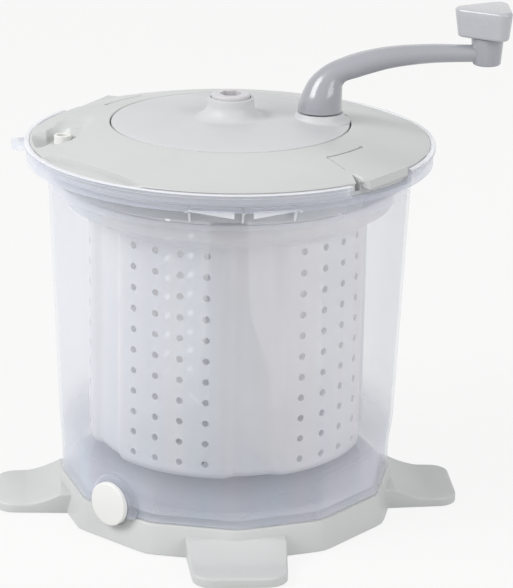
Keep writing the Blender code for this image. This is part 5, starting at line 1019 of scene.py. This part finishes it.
def build_arm():
    def contour(side):
        return spline([
            Vector((CRANK_AXIS + row[side][0] * POST_RADIUS, 0.0,
                    POST_BOTTOM + row[side][1] * POST_RADIUS)) for row in ARM_SHARES], 5)

    rings = []
    for inner, outer in zip(contour(0), contour(1)):
        centre, reach = (inner + outer) / 2, (inner - outer) / 2
        side = Vector((0.0, reach.length, 0.0))
        rings.append([
            centre + reach * math.cos(math.pi * i / 24) + side * math.sin(math.pi * i / 24)
            for i in range(48)])
    arm = skin(rings, sharp=40)
    neck = lathe(rounded([
        (0.0, NECK_TOP, 0), (NECK_TOP_RADIUS, NECK_TOP, 0.0005),
        (NECK_RADIUS, NECK_BOTTOM, 0.0018), (0.0, NECK_BOTTOM, 0)], 5, closed=False),
        64, (KNOB_AXIS, 0.0), on_axis=True)
    pocket = plate(
        hexagon(HEX_SIZE, (CRANK_AXIS, 0.0)), POST_BOTTOM - OVERRUN, POST_POCKET_TOP)
    stepped = lathe([
        (0.0, NECK_TOP + OVERRUN), (PIN_BORE, NECK_TOP + OVERRUN), (PIN_BORE, PIN_HEAD_TOP),
        (PIN_HEAD, PIN_HEAD_TOP), (PIN_HEAD, NECK_BOTTOM - OVERRUN),
        (0.0, NECK_BOTTOM - OVERRUN)],
        32, (KNOB_AXIS, 0.0), on_axis=True)
    mesh = carve(
        arm, [("UNION", neck), ("DIFFERENCE", pocket), ("DIFFERENCE", stepped)], sharp=40)
    piece("crank_sweep", mesh, "crank", arm_grey, ["crank_arm"])


def knob_ring(scale, height, inset=0.0):
    ring = []
    for corner in range(3):
        heading = math.radians(KNOB_TURN + 120 * corner)
        centre = Vector((
            KNOB_AXIS + KNOB_REACH * scale * math.cos(heading),
            KNOB_REACH * scale * math.sin(heading), height))
        radius = KNOB_CORNER * scale - inset
        for i in range(15):
            angle = heading + math.radians(60 * (i / 7 - 1))
            ring.append(centre + Vector((radius * math.cos(angle), radius * math.sin(angle), 0)))
    return ring


def build_knob():
    rings = []
    for i in range(6):
        angle = math.radians(90 * i / 5)
        inset = KNOB_ROUND * (1 - math.sin(angle)) * 0.8
        rings.append(knob_ring(
            KNOB_DRAFT, KNOB_BOTTOM + KNOB_ROUND * (1 - math.cos(angle)) * 0.8, inset))
    for i in range(1, 4):
        share = i / 4
        height = KNOB_BOTTOM + KNOB_ROUND + (KNOB_TOP - KNOB_BOTTOM - 2 * KNOB_ROUND) * share
        rings.append(knob_ring(KNOB_DRAFT + (1 - KNOB_DRAFT) * share, height))
    for i in range(7):
        angle = math.radians(90 * i / 6)
        inset = KNOB_ROUND * (1 - math.cos(angle))
        rings.append(knob_ring(1.0, KNOB_TOP - KNOB_ROUND * (1 - math.sin(angle)), inset))
    shell = skin(rings, sharp=50)
    bore = rod(PIN_BORE, KNOB_BOTTOM - OVERRUN, KNOB_BORE_TOP, 24, (KNOB_AXIS, 0.0))
    mesh = carve(shell, [("DIFFERENCE", bore)], sharp=50)
    piece("knob_grip", mesh, "grip", knob_grey, ["knob"])


for build in (
        build_base, build_tub, build_drain, build_basket, build_lid,
        build_inlet, build_cover, build_shaft, build_arm, build_knob):
    build()


# Stage, light and camera

FLOOR_HALF, FLOOR_COLOUR, FLOOR_FADE = 12.0, (0.66, 0.66, 0.66, 1.0), 0.88
BACKDROP, WORLD_LEVEL = (0.99, 0.99, 0.985, 1.0), 0.48
LIGHTS = (  # name, place, aim, width, height, watts
    ("key", (-2.1, -0.75, 1.9), (0, 0, 0.2), 1.5, 1.5, 54),
    ("fill", (1.5, -1.7, 1.2), (0, 0, 0.15), 1.4, 1.4, 21),
    ("back", (0.3, 1.8, 1.9), (0, 0, 0.25), 1.6, 0.9, 3),
)
CAMERA_PLACE, CAMERA_LENS, SENSOR_WIDTH = (-0.1293, -1.8491, 0.7779), 158.704, 36.0
CAMERA_YAW, CAMERA_PITCH, CAMERA_ROLL = 4.661, 18.362, 0.981


def sees_white(tree):
    """1 for camera, mirror and glass rays, which see plain white; 0 for all others."""
    path = tree.nodes.new("ShaderNodeLightPath")
    level = path.outputs["Is Camera Ray"]
    for kind in ("Is Glossy Ray", "Is Transmission Ray"):
        peak = add(tree, "ShaderNodeMath", operation="MAXIMUM")
        tree.links.new(level, peak.inputs[0])
        tree.links.new(path.outputs[kind], peak.inputs[1])
        level = peak.outputs[0]
    return level


def build_stage():
    work = bmesh.new()
    bmesh.ops.create_grid(work, x_segments=1, y_segments=1, size=FLOOR_HALF)
    mesh = bpy.data.meshes.new("floor")
    work.to_mesh(mesh)
    work.free()
    floor = placed("floor", mesh)
    material, tree, shader = new_material("floor")
    shader.inputs["Base Color"].default_value = FLOOR_COLOUR
    shader.inputs["Roughness"].default_value = 0.9
    glow = tree.nodes.new("ShaderNodeEmission")
    glow.inputs["Color"].default_value = BACKDROP
    blend = tree.nodes.new("ShaderNodeMixShader")
    fade = add(tree, "ShaderNodeMath", operation="MULTIPLY")
    fade.inputs[1].default_value = FLOOR_FADE
    tree.links.new(sees_white(tree), fade.inputs[0])
    tree.links.new(fade.outputs[0], blend.inputs["Fac"])
    tree.links.new(shader.outputs["BSDF"], blend.inputs[1])
    tree.links.new(glow.outputs["Emission"], blend.inputs[2])
    output = tree.nodes["Material Output"]
    tree.links.new(blend.outputs["Shader"], output.inputs["Surface"])
    floor.data.materials.append(material)


def build_world():
    world = bpy.data.worlds.new("studio")
    bpy.context.scene.world = world
    world.use_nodes = True
    tree = world.node_tree
    ambient = tree.nodes["Background"]
    ambient.inputs["Color"].default_value = (1.0, 1.0, 1.0, 1.0)
    ambient.inputs["Strength"].default_value = WORLD_LEVEL
    plain = tree.nodes.new("ShaderNodeBackground")
    plain.inputs["Color"].default_value = BACKDROP
    plain.inputs["Strength"].default_value = 1.0
    blend = tree.nodes.new("ShaderNodeMixShader")
    tree.links.new(sees_white(tree), blend.inputs["Fac"])
    tree.links.new(ambient.outputs["Background"], blend.inputs[1])
    tree.links.new(plain.outputs["Background"], blend.inputs[2])
    tree.links.new(blend.outputs["Shader"], tree.nodes["World Output"].inputs["Surface"])


def area_light(name, place, aim, width, height, power):
    light = bpy.data.lights.new(name, "AREA")
    light.shape = "RECTANGLE"
    light.size, light.size_y = width, height
    light.energy = power
    item = placed(name, light)
    item.location = place
    direction = Vector(aim) - Vector(place)
    item.rotation_mode = "QUATERNION"
    item.rotation_quaternion = direction.to_track_quat("-Z", "Y")


def build_camera():
    yaw, pitch, roll = (math.radians(a) for a in (CAMERA_YAW, CAMERA_PITCH, CAMERA_ROLL))
    forward = Vector((
        math.sin(yaw) * math.cos(pitch), math.cos(yaw) * math.cos(pitch), -math.sin(pitch)))
    level = Vector((math.cos(yaw), -math.sin(yaw), 0.0))
    upward = level.cross(forward)
    right = level * math.cos(roll) + upward * math.sin(roll)
    up = upward * math.cos(roll) - level * math.sin(roll)
    data = bpy.data.cameras.new("camera")
    data.sensor_width = SENSOR_WIDTH
    data.lens = CAMERA_LENS
    data.clip_start, data.clip_end = 0.05, 50.0
    camera = placed("camera", data)
    matrix = Matrix((right, up, -forward)).transposed().to_4x4()
    matrix.translation = Vector(CAMERA_PLACE)
    camera.matrix_world = matrix
    bpy.context.scene.camera = camera


build_stage()
build_world()
for row in LIGHTS:
    area_light(*row)
build_camera()
bpy.context.scene.view_settings.view_transform = "Standard"
